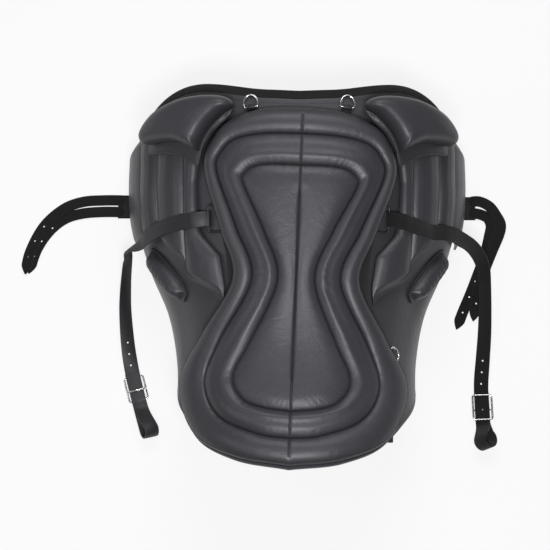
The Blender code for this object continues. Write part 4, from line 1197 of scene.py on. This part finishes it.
knee_low = knee_flange_low + KNEE_FLANGE_T + 1.6 * DRAPE_CLEAR
flange_high = knee_flange_low + KNEE_FLANGE_T
spine_ring = [tuple(through(KNEE_SPINE, key)) for key in (*SPINE_KEYS, *reversed(SPINE_KEYS))]


def knee_pattern(s, level, edge):
    """u and y: level 0 on the edge given, 1 on the block's crown and 2 along its spine."""
    rings = np.stack([ring_point(edge, s), ring_point(KNEE_MIDDLE, s), ring_point(spine_ring, s)])
    first = np.clip(level.astype(int), 0, 1)
    pick = np.arange(len(s))
    outer, inner = rings[first, pick], rings[first + 1, pick]
    place = outer + (inner - outer) * (level - first)[:, None]
    return place[:, 0], place[:, 1]


def make_knee_blocks():
    rows = rows_through([
        ([(2.0, knee_low + KNEE_T), (1.5, knee_low + 0.998 * KNEE_T),
          (1.0, knee_low + 0.985 * KNEE_T), (0.75, knee_low + 0.965 * KNEE_T),
          (0.5, knee_low + 0.915 * KNEE_T), (0.3, knee_low + 0.82 * KNEE_T),
          (0.15, knee_low + 0.67 * KNEE_T), (0.055, knee_low + 0.49 * KNEE_T),
          (0.008, knee_low + 0.30 * KNEE_T), (0.0, knee_low + 0.16 * KNEE_T),
          (0.03, knee_low + 0.05 * KNEE_T), (0.10, knee_low)], 60),
        ([(0.10, knee_low), (1.0, knee_low), (2.0, knee_low)], 8)])
    flange_rows = np.array([(2.0, flange_high), (1.0, flange_high), (0.5, flange_high),
                            (0.05, flange_high), (0.0, flange_high - 0.0006),
                            (0.0, knee_flange_low + 0.0006), (0.05, knee_flange_low),
                            (0.5, knee_flange_low), (1.0, knee_flange_low),
                            (2.0, knee_flange_low)])
    for side, label in SIDES:
        def skin(s, t, rows, edge, swell, side=side):
            row = np.rint(t * (len(rows) - 1)).astype(int)
            level, h = rows[row, 0], rows[row, 1]
            u, y = knee_pattern(s, level, edge)
            if swell:
                folds = np.sin(s * 150 + 3 * np.sin(s * 37)) * np.exp(-((level - 0.06) / 0.07) ** 2)
                lumps = np.sin(u * 95 + 1.0) * np.sin(y * 83) * smooth(level, 0.1, 0.6)
                h = h + (h > knee_low + 0.003) * (0.00035 * folds + 0.0006 * lumps)
            return form.at(side * u, y, h)
        block = wrapped_piece("knee_pad_" + label,
                              lambda s, t: skin(s, t, rows, KNEE_EDGE, True), 240, len(rows) - 1)
        settle(block, [leather_finish()], "knee_" + label,
               ["knee_block_" + label])
        flange = wrapped_piece("knee_flange_leather_" + label,
                               lambda s, t: skin(s, t, flange_rows, FLANGE_EDGE, False), 200,
                               len(flange_rows) - 1)
        settle(flange, [leather_finish()], "knee_" + label,
               ["knee_flange_" + label])
        s = np.linspace(0.5, 0.80, 300)
        u, y = knee_pattern(s, np.full_like(s, 0.10), FLANGE_EDGE)
        runs = [seam_run(side * u, y, flange_high)]
        s = np.linspace(0.0, 1.0, 700)
        u, y = knee_pattern(s, np.full_like(s, 0.075), KNEE_EDGE)
        h = np.interp(-0.075, -rows[:60, 0], rows[:60, 1])
        runs.append(seam_run(side * u, y, h + 0.0005))
        stitching("knee_stitching_" + label, runs, "knee_" + label, sizes().stitch_pitch)


THIGH_TOP = (0.300, 0.057)
THIGH_TIP = (0.206, -0.029)


def thigh_pattern(s, t):
    start, end = np.array(THIGH_TIP), np.array(THIGH_TOP)
    ahead = (end - start) / np.linalg.norm(end - start)
    across = np.array([-ahead[1], ahead[0]])
    spread = np.sin(np.pi * np.clip(s, 0.03, 0.97)) ** 0.35
    place = start + (end - start) * s[:, None] + across * (
        THIGH_WIDTH * (t - 0.5) * spread)[:, None]
    return place[:, 0], place[:, 1]


def make_thigh_rolls():
    lip, seam = 0.06, 0.10
    for side, label in SIDES:
        def roll(s, t, top, side=side):
            u, y = thigh_pattern(s, t)
            inside = np.clip(np.minimum(s - lip, 1 - lip - s) / (0.5 - lip), 0.0, 1.0)
            round_end = np.sqrt(np.maximum(1 - (1 - np.minimum(inside * 2.2, 1.0)) ** 2, 0.0))
            middle = np.clip((t - seam) / (1 - 2 * seam), 0.0, 1.0)
            body = np.sin(np.pi * middle) ** 0.55 * round_end
            folds = 1 + 0.012 * np.sin(s * 70 + 4 * np.sin(t * 5))
            h = SEAT_CLEAR + THIGH_EDGE_T + (THIGH_T - THIGH_EDGE_T) * body * folds
            return form.at(side * u, y, np.where(top, h, SEAT_CLEAR))
        piece = slab_piece("thigh_roll_pad_" + label, roll, 90, 60, 0.0006)
        settle(piece, [leather_finish()], "base", ["thigh_roll_" + label])
        runs = []
        for t_edge in (0.055, 0.945):
            s = np.linspace(0.03, 0.97, 200)
            u, y = thigh_pattern(s, np.full_like(s, t_edge))
            runs.append(seam_run(side * u, y, SEAT_CLEAR + THIGH_EDGE_T + 0.0002))
        stitching("thigh_stitching_" + label, runs, "base", sizes().stitch_pitch)


class SADDLE_OT_knee_blocks(Builder, bpy.types.Operator):
    """Build the knee blocks on their flanges"""
    bl_idname = "saddle.knee_blocks"
    bl_label = "Knee blocks"
    build = staticmethod(make_knee_blocks)


class SADDLE_OT_thigh_rolls(Builder, bpy.types.Operator):
    """Build the thigh rolls behind the flaps"""
    bl_idname = "saddle.thigh_rolls"
    bl_label = "Thigh rolls"
    build = staticmethod(make_thigh_rolls)


# Stirrup webbing, leathers and buckles

over_flap = knee_flange_low + STRAP_T / 2 + SEAT_CLEAR
FLOOR_LIFT = STRAP_T / 2 + STRAP_LOW
bars_low = BUCKLE_R + CLEAR
ply_low = bars_low + BUCKLE_R + CLEAR + STRAP_T / 2
ply_step = STRAP_T + CLEAR
bars_high = ply_low + ply_step + STRAP_T / 2 + CLEAR + BUCKLE_R

LEFT_ON_FLAP = [(BAR_U + 0.0195, 0.0895), (0.195, 0.0885), (0.220, 0.0870), (0.245, 0.0835),
                (0.270, 0.0790), (0.292, 0.0735)]
LEFT_FREE = [(0.2860, 0.0650, 0.080), (0.2905, 0.0560, 0.058), (0.2935, 0.0410, 0.040),
             (0.2960, 0.0226, 0.0275), (0.2975, -0.0025, 0.0190), (0.2975, -0.0290, 0.0150),
             (0.2950, -0.0640, 0.0115), (0.2910, -0.0990, 0.0085),
             (0.2856, -0.1300, ply_low + 0.0010), (0.2790, -0.1580, ply_low),
             (0.2714, -0.1863, ply_low)]
RIGHT_ON_FLAP = [(BAR_U + 0.0195, 0.0880), (0.185, 0.0845), (0.205, 0.0825), (0.227, 0.0810)]
RIGHT_FREE = [(0.2530, 0.0780, 0.158), (0.2740, 0.0740, 0.130), (0.2930, 0.0690, 0.103),
              (0.3080, 0.0590, 0.078), (0.3190, 0.0440, 0.056), (0.3245, 0.0230, 0.0390),
              (0.3265, -0.0130, 0.0260), (0.3265, -0.0470, 0.0190), (0.3255, -0.0770, 0.0140),
              (0.3225, -0.1170, 0.0090), (0.3195, -0.1610, ply_low),
              (0.3212, -0.2170, ply_low)]
LEFT_ROLL = [(0.27, None), (0.38, (0.0, 0.30, -0.95)), (0.48, (0.35, 0.0, -0.94)),
             (0.58, (0.62, 0.0, -0.78)), (0.70, (0.80, 0.0, -0.60)), (0.80, (0.92, 0.0, -0.39))]
RIGHT_ROLL = [(0.18, None), (0.34, (0.45, 0.55, 0.70)), (0.52, (0.66, 0.15, 0.74)),
              (0.66, (0.80, 0.0, 0.60)), (0.80, (0.93, 0.0, 0.37))]
ROLLED = 0.90
STRAP_HOLES = (0.0620, 0.0820, 0.1020)
LEFT_LOOP = (0.067, 0.026, math.radians(25), 0.0)
RIGHT_LOOP = (0.048, 0.030, math.radians(-50), math.radians(40))
UP = np.array([0.0, 0.0, 1.0])


class FloorSpot:
    """A place on the floor with a way ahead, a way across and up."""

    def __init__(self, origin, ahead):
        self.origin = np.array([origin[0], origin[1], 0.0])
        self.ahead = unit(np.array([ahead[0], ahead[1], 0.0]))
        self.across = np.array([-self.ahead[1], self.ahead[0], 0.0])

    def at(self, ahead, across, z):
        return self.origin + self.ahead * ahead + self.across * across + UP * z


def make_buckle(label, spot, ends_over):
    """Three-bar buckle with the stub on its middle bar."""
    end_z, middle_z = (bars_high, bars_low) if ends_over else (bars_low, bars_high)
    half = BUCKLE_W / 2
    corners = [spot.at(a, c, end_z) for a, c in
               ((0.0, -half), (0.0, half), (-BUCKLE_L, half), (-BUCKLE_L, -half))]
    buckle = tube_piece("plated_buckle_" + label, rounded(corners, 0.005, 8), BUCKLE_R)
    shape = [(0.0, 0.0), (0.015, 0.45), (0.05, 0.88), (0.12, 1.0), (0.5, 1.0), (0.88, 1.0),
             (0.95, 0.88), (0.985, 0.45), (1.0, 0.0)]
    bar = tube_piece("middle_bar", np.array(
        [spot.at(-BUCKLE_MIDDLE, BUCKLE_W * (c - 0.5), end_z + (middle_z - end_z) * rise)
         for c, rise in shape]), BUCKLE_R, closed=False)
    way = 1 if ends_over else -1
    far = ply_low + ply_step / 2 + way * (ply_step / 2 + STRAP_T / 2 + TONGUE_PROUD)
    stub = peg(spot.at(-BUCKLE_MIDDLE, 0.0, middle_z), spot.at(-BUCKLE_MIDDLE, 0.0, far),
               BUCKLE_TONGUE_R)
    boolean(buckle, bar, "UNION")
    boolean(buckle, stub, "UNION")
    settle(buckle, [metal_finish()], "stirrup_" + label, ["buckle_" + label])


def turn_about_z(vector, angle):
    c, s = math.cos(angle), math.sin(angle)
    return np.array([vector[0] * c - vector[1] * s, vector[0] * s + vector[1] * c, vector[2]])


def loop_route(spot, loop):
    """Places and ways across: out along the low ply, round the bend and back on top."""
    length, gap, roll, turn = loop
    bend = length - gap / 2
    past_bar = BUCKLE_R + STRAP_T
    out = [(past_bar + (bend - past_bar) * k / 5, 0.0) for k in range(5)]
    back = [(out[k][0], ply_step + (gap - ply_step) * (3 - 2 * k / 5) * (k / 5) ** 2)
            for k in reversed(range(5))]
    tail = [(s, ply_step) for s in np.linspace(0.0, -TAIL_L, 5)]
    places, ways = [], []
    for s, w in out + arc((bend, gap / 2), gap / 2, -90, 90, 7) + back + tail:
        share = min(max(s / bend, 0.0), 1.0)
        tilt = roll * share
        ahead = turn_about_z(spot.ahead, turn * share / 2)
        across = turn_about_z(spot.across, turn * share / 2)
        high = UP * math.cos(tilt) + across * math.sin(tilt)
        lift = max(ply_low, CLEAR + STRAP_W / 2 * abs(math.sin(tilt)) + STRAP_T / 2)
        places.append(spot.origin + ahead * s + UP * lift + high * w)
        ways.append(across * math.cos(tilt) - UP * math.sin(tilt))
    return places, ways


def ribbon_run(centre, ways, count):
    """count places and ways across, along smooth curves through those given."""
    share = np.linspace(0, 1, count)
    return through(centre, share), unit(through(ways, share))


def punch(strap, run, distances, radius=HOLE_R, deep=3 * STRAP_T):
    """Holes through a strap on the floor, at distances back from the end of its run."""
    lengths = run_length(run)
    centres = at_lengths(run, lengths[-1] - np.array(distances))
    for centre in centres:
        boolean(strap, peg(centre - UP * deep, centre + UP * deep, radius), "DIFFERENCE")


def eye_route():
    eye_round = BAR_R + 0.0005 + STRAP_T / 2
    eye = [(BAR_U + 0.008, BAR_H - eye_round)]
    eye += arc((BAR_U, BAR_H), eye_round, -90, -270, 9)
    eye.append((BAR_U + 0.005, BAR_H + eye_round + 0.0035))
    return eye


def strap_mark(run, ways, lines, face, lift):
    """Stitch runs drawn on a strap: lines of (distance along, across), on its face 1 or -1."""
    ahead, across, up = strap_axes(run, ways)
    lengths = run_length(run)

    def read_at(values, distance):
        return np.stack([np.interp(distance, lengths, values[:, axis]) for axis in range(3)], 1)

    runs = []
    for line in lines:
        line = np.array(line, float)
        steps = np.linspace(0, len(line) - 1, 60 * (len(line) - 1) + 1)
        distance = np.interp(steps, range(len(line)), line[:, 0])
        side = np.interp(steps, range(len(line)), line[:, 1])
        normal = unit(read_at(up, distance)) * face
        places = read_at(run, distance) + unit(read_at(across, distance)) * side[:, None]
        runs.append((places + normal * lift, normal))
    return runs


def rolled_way(roll, first, last, share):
    """Way across the strap at a share of its way from the flap to the buckle."""
    keys = [(0.0, first)] + [(s, first if way is None else np.array(way)) for s, way in roll]
    keys += [(ROLLED, last), (1.0, last)]
    for (low, a), (high, b) in zip(keys, keys[1:]):
        if share <= high:
            mixed = a + (b - a) * (share - low) / max(high - low, 1e-6)
            return mixed / np.linalg.norm(mixed)
    return last


def make_stirrup_side(label, side, on_flap, free, roll, loop, ends_over):
    """Strap with its eye, holes, loop and tail, and the buckle that joins its plies."""
    body = "stirrup_" + label
    start = [form.at(side * u, STIRRUP_Y, h) for u, h in eye_route()]
    route = [form.at(side * u, y, over_flap) for u, y in on_flap]
    route += [np.array([side * x, y, z]) for x, y, z in free]
    run = even_route(route, 32)
    spot = FloorSpot(run[-1], run[-1] - run[-2])
    on_bar = form.ahead(np.array(side * BAR_U), np.array(STIRRUP_Y))
    ways = [on_bar] * len(start) + [rolled_way(roll, on_bar, spot.across, k / (len(run) - 1))
                                    for k in range(len(run))]
    loop_places, loop_ways = loop_route(spot, loop)
    places = np.array(start + list(run) + loop_places)
    places, all_ways = ribbon_run(places, np.array(ways + loop_ways), 4 * len(places) - 3)
    strap = strap_piece("stirrup_strap_" + label, places, all_ways, STRAP_W, STRAP_T)
    punch(strap, run, (BUCKLE_MIDDLE, *STRAP_HOLES))
    faces = [strap_finish(), flesh_finish()]
    if ends_over:
        faces.reverse()
    settle(strap, faces, body, ["stirrup_leather_" + label])
    make_buckle(label, spot, ends_over)

    grain_up = -1 if ends_over else 1
    eye_end = 0.034
    near, far, half = eye_end, eye_end + 0.016, 0.0088
    box = [(near, -half), (near, half), (far, half), (far, -half), (near, -half)]
    point = [(far, half), (far + 0.011, 0.0), (far, -half)]
    runs = strap_mark(places, all_ways, [box, point], grain_up, STRAP_T / 2 + SEAM_LIFT)
    stitching("stirrup_strap_stitching_" + label, runs, body, STRAP_PITCH, STRAP_THREAD_R)


def make_stirrups():
    make_stirrup_side("left", -1, LEFT_ON_FLAP, LEFT_FREE, LEFT_ROLL, LEFT_LOOP, False)
    make_stirrup_side("right", 1, RIGHT_ON_FLAP, RIGHT_FREE, RIGHT_ROLL, RIGHT_LOOP, True)

    inner_leg = (BAR_U - BAR_DEPTH, DRAPE_CLEAR + 0.0004 + WEB_T + 2 * CLEAR + BAR_R)
    web_round = BAR_R + 2 * CLEAR + WEB_T / 2
    half_web = [(u, inner_leg[1] - web_round) for u in np.linspace(0.0, inner_leg[0] - 0.004, 8)]
    half_web += arc(inner_leg, web_round, -90, 90, 6)
    half_web.append((inner_leg[0] - 0.006, inner_leg[1] + web_round))
    points = [(-u, h) for u, h in reversed(half_web[1:])] + half_web
    us, hs = np.array(points).T
    centre, ways = ribbon_run(form.at(us, STIRRUP_Y, hs), form.ahead(us, STIRRUP_Y), 160)
    web = strap_piece("stirrup_webbing_band", centre, ways, BAR_W - 5 * BAR_R, WEB_T)
    settle(web, [webbing_finish()] * 2, "base", ["stirrup_webbing"])
    for side, label in SIDES:
        dress_node("stirrup_bar_" + label, coated_finish())


class SADDLE_OT_stirrups(Builder, bpy.types.Operator):
    """Build the stirrup leathers, their buckles and the webbing that carries them"""
    bl_idname = "saddle.stirrups"
    bl_label = "Stirrup leathers"
    build = staticmethod(make_stirrups)


# Girth webbing and billets

BILLET_HOLES = (0.0320, 0.0620, 0.0920)
floor_web = GIRTH_T / 2 + CLEAR
billet_z = floor_web + GIRTH_T / 2 + CLEAR + BILLET_T / 2
flat_z = BILLET_T / 2 + CLEAR
stacked_z = flat_z + BILLET_T + 2 * CLEAR
BILLETS = {
    "billet_left_front": (-1, [(BILLET_ROOT, 0.1670, billet_z), (0.340, 0.1670, billet_z),
                               (0.378, 0.1635, stacked_z), (0.412, 0.1500, stacked_z),
                               (0.445, 0.1190, stacked_z), (0.4675, 0.0740, stacked_z),
                               (0.4755, 0.0330, stacked_z)]),
    "billet_left_rear": (-1, [(BILLET_ROOT, 0.1460, billet_z), (0.343, 0.1460, billet_z),
                              (0.380, 0.1430, flat_z), (0.410, 0.1330, flat_z),
                              (0.436, 0.1110, flat_z), (0.457, 0.0780, flat_z),
                              (0.4700, 0.0350, flat_z)]),
    "billet_right_front": (1, [(BILLET_ROOT, 0.1670, billet_z),
                               (0.322, 0.1680, billet_z + 0.0018),
                               (0.3400, 0.1590, stacked_z + 0.0012),
                               (0.3520, 0.1430, stacked_z),
                               (0.3595, 0.1270, stacked_z), (0.3565, 0.1090, stacked_z),
                               (0.3440, 0.0800, stacked_z), (0.3290, 0.0430, stacked_z),
                               (0.3180, 0.0060, stacked_z), (0.3080, -0.0460, stacked_z)]),
    "billet_right_rear": (1, [(BILLET_ROOT, 0.1460, billet_z), (0.3200, 0.1460, billet_z),
                              (0.3370, 0.1390, flat_z + 0.0002), (0.3430, 0.1250, flat_z),
                              (0.3400, 0.1080, flat_z), (0.3310, 0.0720, flat_z),
                              (0.3170, 0.0340, flat_z), (0.3030, -0.0010, flat_z),
                              (0.2900, -0.0310, flat_z), (0.2790, -0.0600, flat_z)]),
}


def make_girth():
    for side, label in SIDES:
        lowest = float(form.floor_u(GIRTH_Y))
        us = side * np.linspace(GIRTH_TOP, lowest - 0.010, 12)
        down = list(form.at(us, GIRTH_Y, DRAPE_CLEAR + GIRTH_T / 2))
        foot_x = abs(down[-1][0])
        ways = [form.ahead(np.array(side * 0.3), np.array(GIRTH_Y))] * len(down)
        down += [np.array([side * (foot_x + dx), GIRTH_Y, z]) for dx, z in
                 ((0.0, 0.0060), (0.0006, 0.0034), (0.0024, 0.0017), (0.0055, floor_web),
                  (0.0080, floor_web))]
        down.append(np.array([side * WEB_END, GIRTH_Y, floor_web]))
        ways += [np.array([0.0, 1.0, 0.0])] * (len(down) - len(ways))
        centre, across = ribbon_run(np.array(down), np.array(ways), 140)
        web = strap_piece("girth_band_" + label, centre, across, GIRTH_W, GIRTH_T)
        settle(web, [webbing_finish()] * 2, "base", ["girth_webbing_" + label])

    for name, (side, route) in BILLETS.items():
        run = even_route([(side * x, y, z) for x, y, z in route], 90)
        ahead = np.gradient(run, axis=0)
        ways = unit(np.cross(ahead, -UP))
        body = "billets_left" if side < 0 else "base"
        strap = strap_piece(name + "_strap", run, ways, BILLET_W, BILLET_T, (0.004, 0.016), 1.25)
        punch(strap, run, BILLET_HOLES, deep=BILLET_T)
        up = strap_axes(run, ways)[2]
        grain_up = 1 if up[0][2] > 0 else -1
        faces = [strap_finish(), flesh_finish()]
        if grain_up < 0:
            faces.reverse()
        settle(strap, faces, body, [name])
        half = BILLET_W / 2 - 0.0035
        box = [(0.004, -half), (0.004, half), (0.022, half), (0.022, -half), (0.004, -half)]
        cross = [(0.004, -half), (0.022, half)]
        runs = strap_mark(run, ways, [box, cross], grain_up, BILLET_T / 2 + SEAM_LIFT)
        stitching(name + "_stitching", runs, body, STRAP_PITCH, STRAP_THREAD_R)


class SADDLE_OT_girth(Builder, bpy.types.Operator):
    """Build the girth webbing and its billets"""
    bl_idname = "saddle.girth"
    bl_label = "Girth webbing and billets"
    build = staticmethod(make_girth)


# D-rings and their tabs

RING_SPOTS = {"front": ((0.0770, 0.2660), (0.12, 1.0)), "rear": ((0.1590, -0.1220), (1.0, -0.35))}


def make_ring(end, label, side, spot, way):
    u, y = spot
    ride_on = "ring_" + end + "_" + label
    at = form.at(side * u, y, RING_H)
    ahead = unit(form.points(side * (u + way[0] * 0.01), y + way[1] * 0.01)
                 - form.points(side * u, y))
    up = form.normals(np.array(side * u), np.array(y))
    across = unit(np.cross(up, ahead))
    half = RING_W / 2
    bow = [(RING_L * 0.30 + (RING_L * 0.70) * math.sin(a), -half * math.cos(a))
           for a in np.linspace(0, math.pi, 25)]
    outline = [(0.0, -half + 0.002), (RING_L * 0.03, -half + 0.0006), (RING_L * 0.12, -half)]
    outline += bow[1:-1]
    outline += [(RING_L * 0.12, half), (RING_L * 0.03, half - 0.0006), (0.0, half - 0.002)]
    ring = tube_piece("plated_ring_" + end + "_" + label,
                      np.array([at + ahead * a + across * c for a, c in outline]), RING_R)
    settle(ring, [metal_finish()], ride_on, ["d_ring_" + end + "_" + label])

    reach = RING_R + 2 * CLEAR + TAB_T / 2
    low = SEAT_CLEAR + TAB_T / 2
    way = np.array(way) / np.linalg.norm(way)
    back = [form.at(side * (u + way[0] * a), y + way[1] * a, h)
            for a, h in ((-0.0150, low), (-0.0095, low), (-0.0055, low + 0.0010))]
    over = [at + ahead * reach * math.cos(a) + up * reach * math.sin(a)
            for a in np.radians([150, 120, 90, 60, 30, 5])]
    centre, ways = ribbon_run(np.array(back + over), np.array([across] * 9), 60)
    tab = strap_piece("ring_tab_strap_" + end + "_" + label, centre, ways, TAB_W, TAB_T)
    settle(tab, [strap_finish()] * 2, "base", ["ring_tab_" + end + "_" + label])
    edge = TAB_W / 2 - 0.002
    line = [(0.0015, -edge), (0.0015, edge), (0.0075, edge), (0.0075, -edge), (0.0015, -edge)]
    facing = 1 if float(np.dot(strap_axes(centre, ways)[2][5], up)) > 0 else -1
    runs = strap_mark(centre, ways, [line], facing, TAB_T / 2 + SEAM_LIFT)
    stitching("ring_tab_stitching_" + end + "_" + label, runs, "base", TAB_PITCH, TAB_THREAD_R)


def make_rings():
    for side, label in SIDES:
        for end, (spot, way) in RING_SPOTS.items():
            make_ring(end, label, side, spot, way)


class SADDLE_OT_rings(Builder, bpy.types.Operator):
    """Build the D-rings and the leather tabs that hold them"""
    bl_idname = "saddle.rings"
    bl_label = "D-rings"
    build = staticmethod(make_rings)


# Camera, light and floor

CAMERA_AZIMUTH, CAMERA_ELEVATION, CAMERA_DISTANCE = 0.3, 80.0, 2.35
CAMERA_TARGET = Vector((-0.0375, 0.0, 0.2))
SENSOR_WIDTH = 36.0
CAMERA_LENS = 1454 * SENSOR_WIDTH / 550
LAMP_TARGET = Vector((0.0, 0.0, 0.2))
# name, place, width and length, watts
LAMPS = (("overhead_lamp", (0.04, -0.75, 2.4), (0.50, 0.35), 36.0),
         ("front_softbox", (0.1, 1.5, 1.9), (1.6, 0.7), 22.0),
         ("side_softbox", (-1.5, -0.1, 1.8), (0.6, 1.2), 5.0))


def back_way(azimuth, elevation):
    a, e = math.radians(azimuth), math.radians(elevation)
    return Vector((math.sin(a) * math.cos(e), -math.cos(a) * math.cos(e), math.sin(e)))


def area_lamp(name, place, size, power):
    data = bpy.data.lights.new(name, "AREA")
    data.shape = "RECTANGLE"
    data.size, data.size_y = size
    data.energy = power
    lamp = bpy.data.objects.new(name, data)
    bpy.context.scene.collection.objects.link(lamp)
    lamp.location = Vector(place) + STAND
    way = LAMP_TARGET - Vector(place)
    lamp.rotation_euler = way.to_track_quat("-Z", "Y").to_euler()


def white_to_camera(tree, shader, sink, share):
    """Show a plain white to the camera and to gloss, and keep some of the surface's shade."""
    path = add_node(tree, "ShaderNodeLightPath").outputs
    seen = calc(tree, "MAXIMUM", path["Is Camera Ray"], path["Is Glossy Ray"])
    white = add_node(tree, "ShaderNodeEmission", {"Color": (1, 1, 1, 1), "Strength": 1.0})
    mix = add_node(tree, "ShaderNodeMixShader",
                   {"Fac": calc(tree, "MULTIPLY", seen, share), 1: shader,
                    2: white.outputs["Emission"]})
    tree.links.new(mix.outputs["Shader"], sink)


def make_stage():
    scene = bpy.context.scene
    scene.view_settings.view_transform = "Standard"
    bpy.ops.object.select_all(action="DESELECT")
    bpy.ops.mesh.primitive_plane_add(size=12.0, location=(STAND.x, STAND.y, -0.0005))
    floor = bpy.context.object
    floor.name = "studio_floor"
    bpy.ops.object.transform_apply(location=True, rotation=False, scale=False)
    material, tree, shader = new_material("pale_floor", 0.9, specular=0.1)
    shader.inputs["Base Color"].default_value = (0.86, 0.86, 0.86, 1.0)
    output = tree.nodes["Material Output"]
    white_to_camera(tree, shader.outputs["BSDF"], output.inputs["Surface"], 0.8)
    floor.data.materials.append(material)

    world = bpy.data.worlds.new("studio_world")
    scene.world = world
    world.use_nodes = True
    tree = world.node_tree
    feed(tree, tree.nodes["Background"], {"Color": (0.97, 0.96, 1.0, 1), "Strength": 0.12})
    for lamp in LAMPS:
        area_lamp(*lamp)

    data = bpy.data.cameras.new("photo_camera")
    data.sensor_width = SENSOR_WIDTH
    data.lens = CAMERA_LENS
    data.clip_start, data.clip_end = 0.05, 50.0
    camera = bpy.data.objects.new("photo_camera", data)
    scene.collection.objects.link(camera)
    back = back_way(CAMERA_AZIMUTH, CAMERA_ELEVATION)
    camera.location = CAMERA_TARGET + STAND + back * CAMERA_DISTANCE
    camera.rotation_mode = "QUATERNION"
    camera.rotation_quaternion = (-back).to_track_quat("-Z", "Y")
    scene.camera = camera


class SADDLE_OT_stage(Builder, bpy.types.Operator):
    """Build the floor, the lamps and the camera"""
    bl_idname = "saddle.stage"
    bl_label = "Stage"
    build = staticmethod(make_stage)


OPERATORS = (SADDLE_OT_stage, SADDLE_OT_base, SADDLE_OT_seat, SADDLE_OT_flaps,
             SADDLE_OT_knee_blocks, SADDLE_OT_thigh_rolls, SADDLE_OT_stirrups, SADDLE_OT_girth,
             SADDLE_OT_rings)


class SADDLE_PT_panel(bpy.types.Panel):
    """Saddle pieces in the sidebar"""
    bl_idname = "SADDLE_PT_panel"
    bl_label = "Treeless saddle"
    bl_space_type = "VIEW_3D"
    bl_region_type = "UI"
    bl_category = "Saddle"

    def draw(self, context):
        for settings in (context.scene.saddle_sizes, context.scene.saddle_finishes):
            for name in settings.__annotations__:
                self.layout.prop(settings, name)
        for operator in OPERATORS:
            self.layout.operator(operator.bl_idname)


CLASSES = (SaddleSizes, SaddleFinishes, *OPERATORS, SADDLE_PT_panel)


def register():
    for item in CLASSES:
        bpy.utils.register_class(item)
    bpy.types.Scene.saddle_sizes = bpy.props.PointerProperty(type=SaddleSizes)
    bpy.types.Scene.saddle_finishes = bpy.props.PointerProperty(type=SaddleFinishes)


def unregister():
    del bpy.types.Scene.saddle_finishes
    del bpy.types.Scene.saddle_sizes
    for item in reversed(CLASSES):
        bpy.utils.unregister_class(item)


def main():
    register()
    bpy.ops.saddle.stage()
    bpy.ops.saddle.base()
    bpy.ops.saddle.seat()
    bpy.ops.saddle.flaps()
    bpy.ops.saddle.knee_blocks()
    bpy.ops.saddle.thigh_rolls()
    bpy.ops.saddle.stirrups()
    bpy.ops.saddle.girth()
    bpy.ops.saddle.rings()


if __name__ == "__main__":
    main()
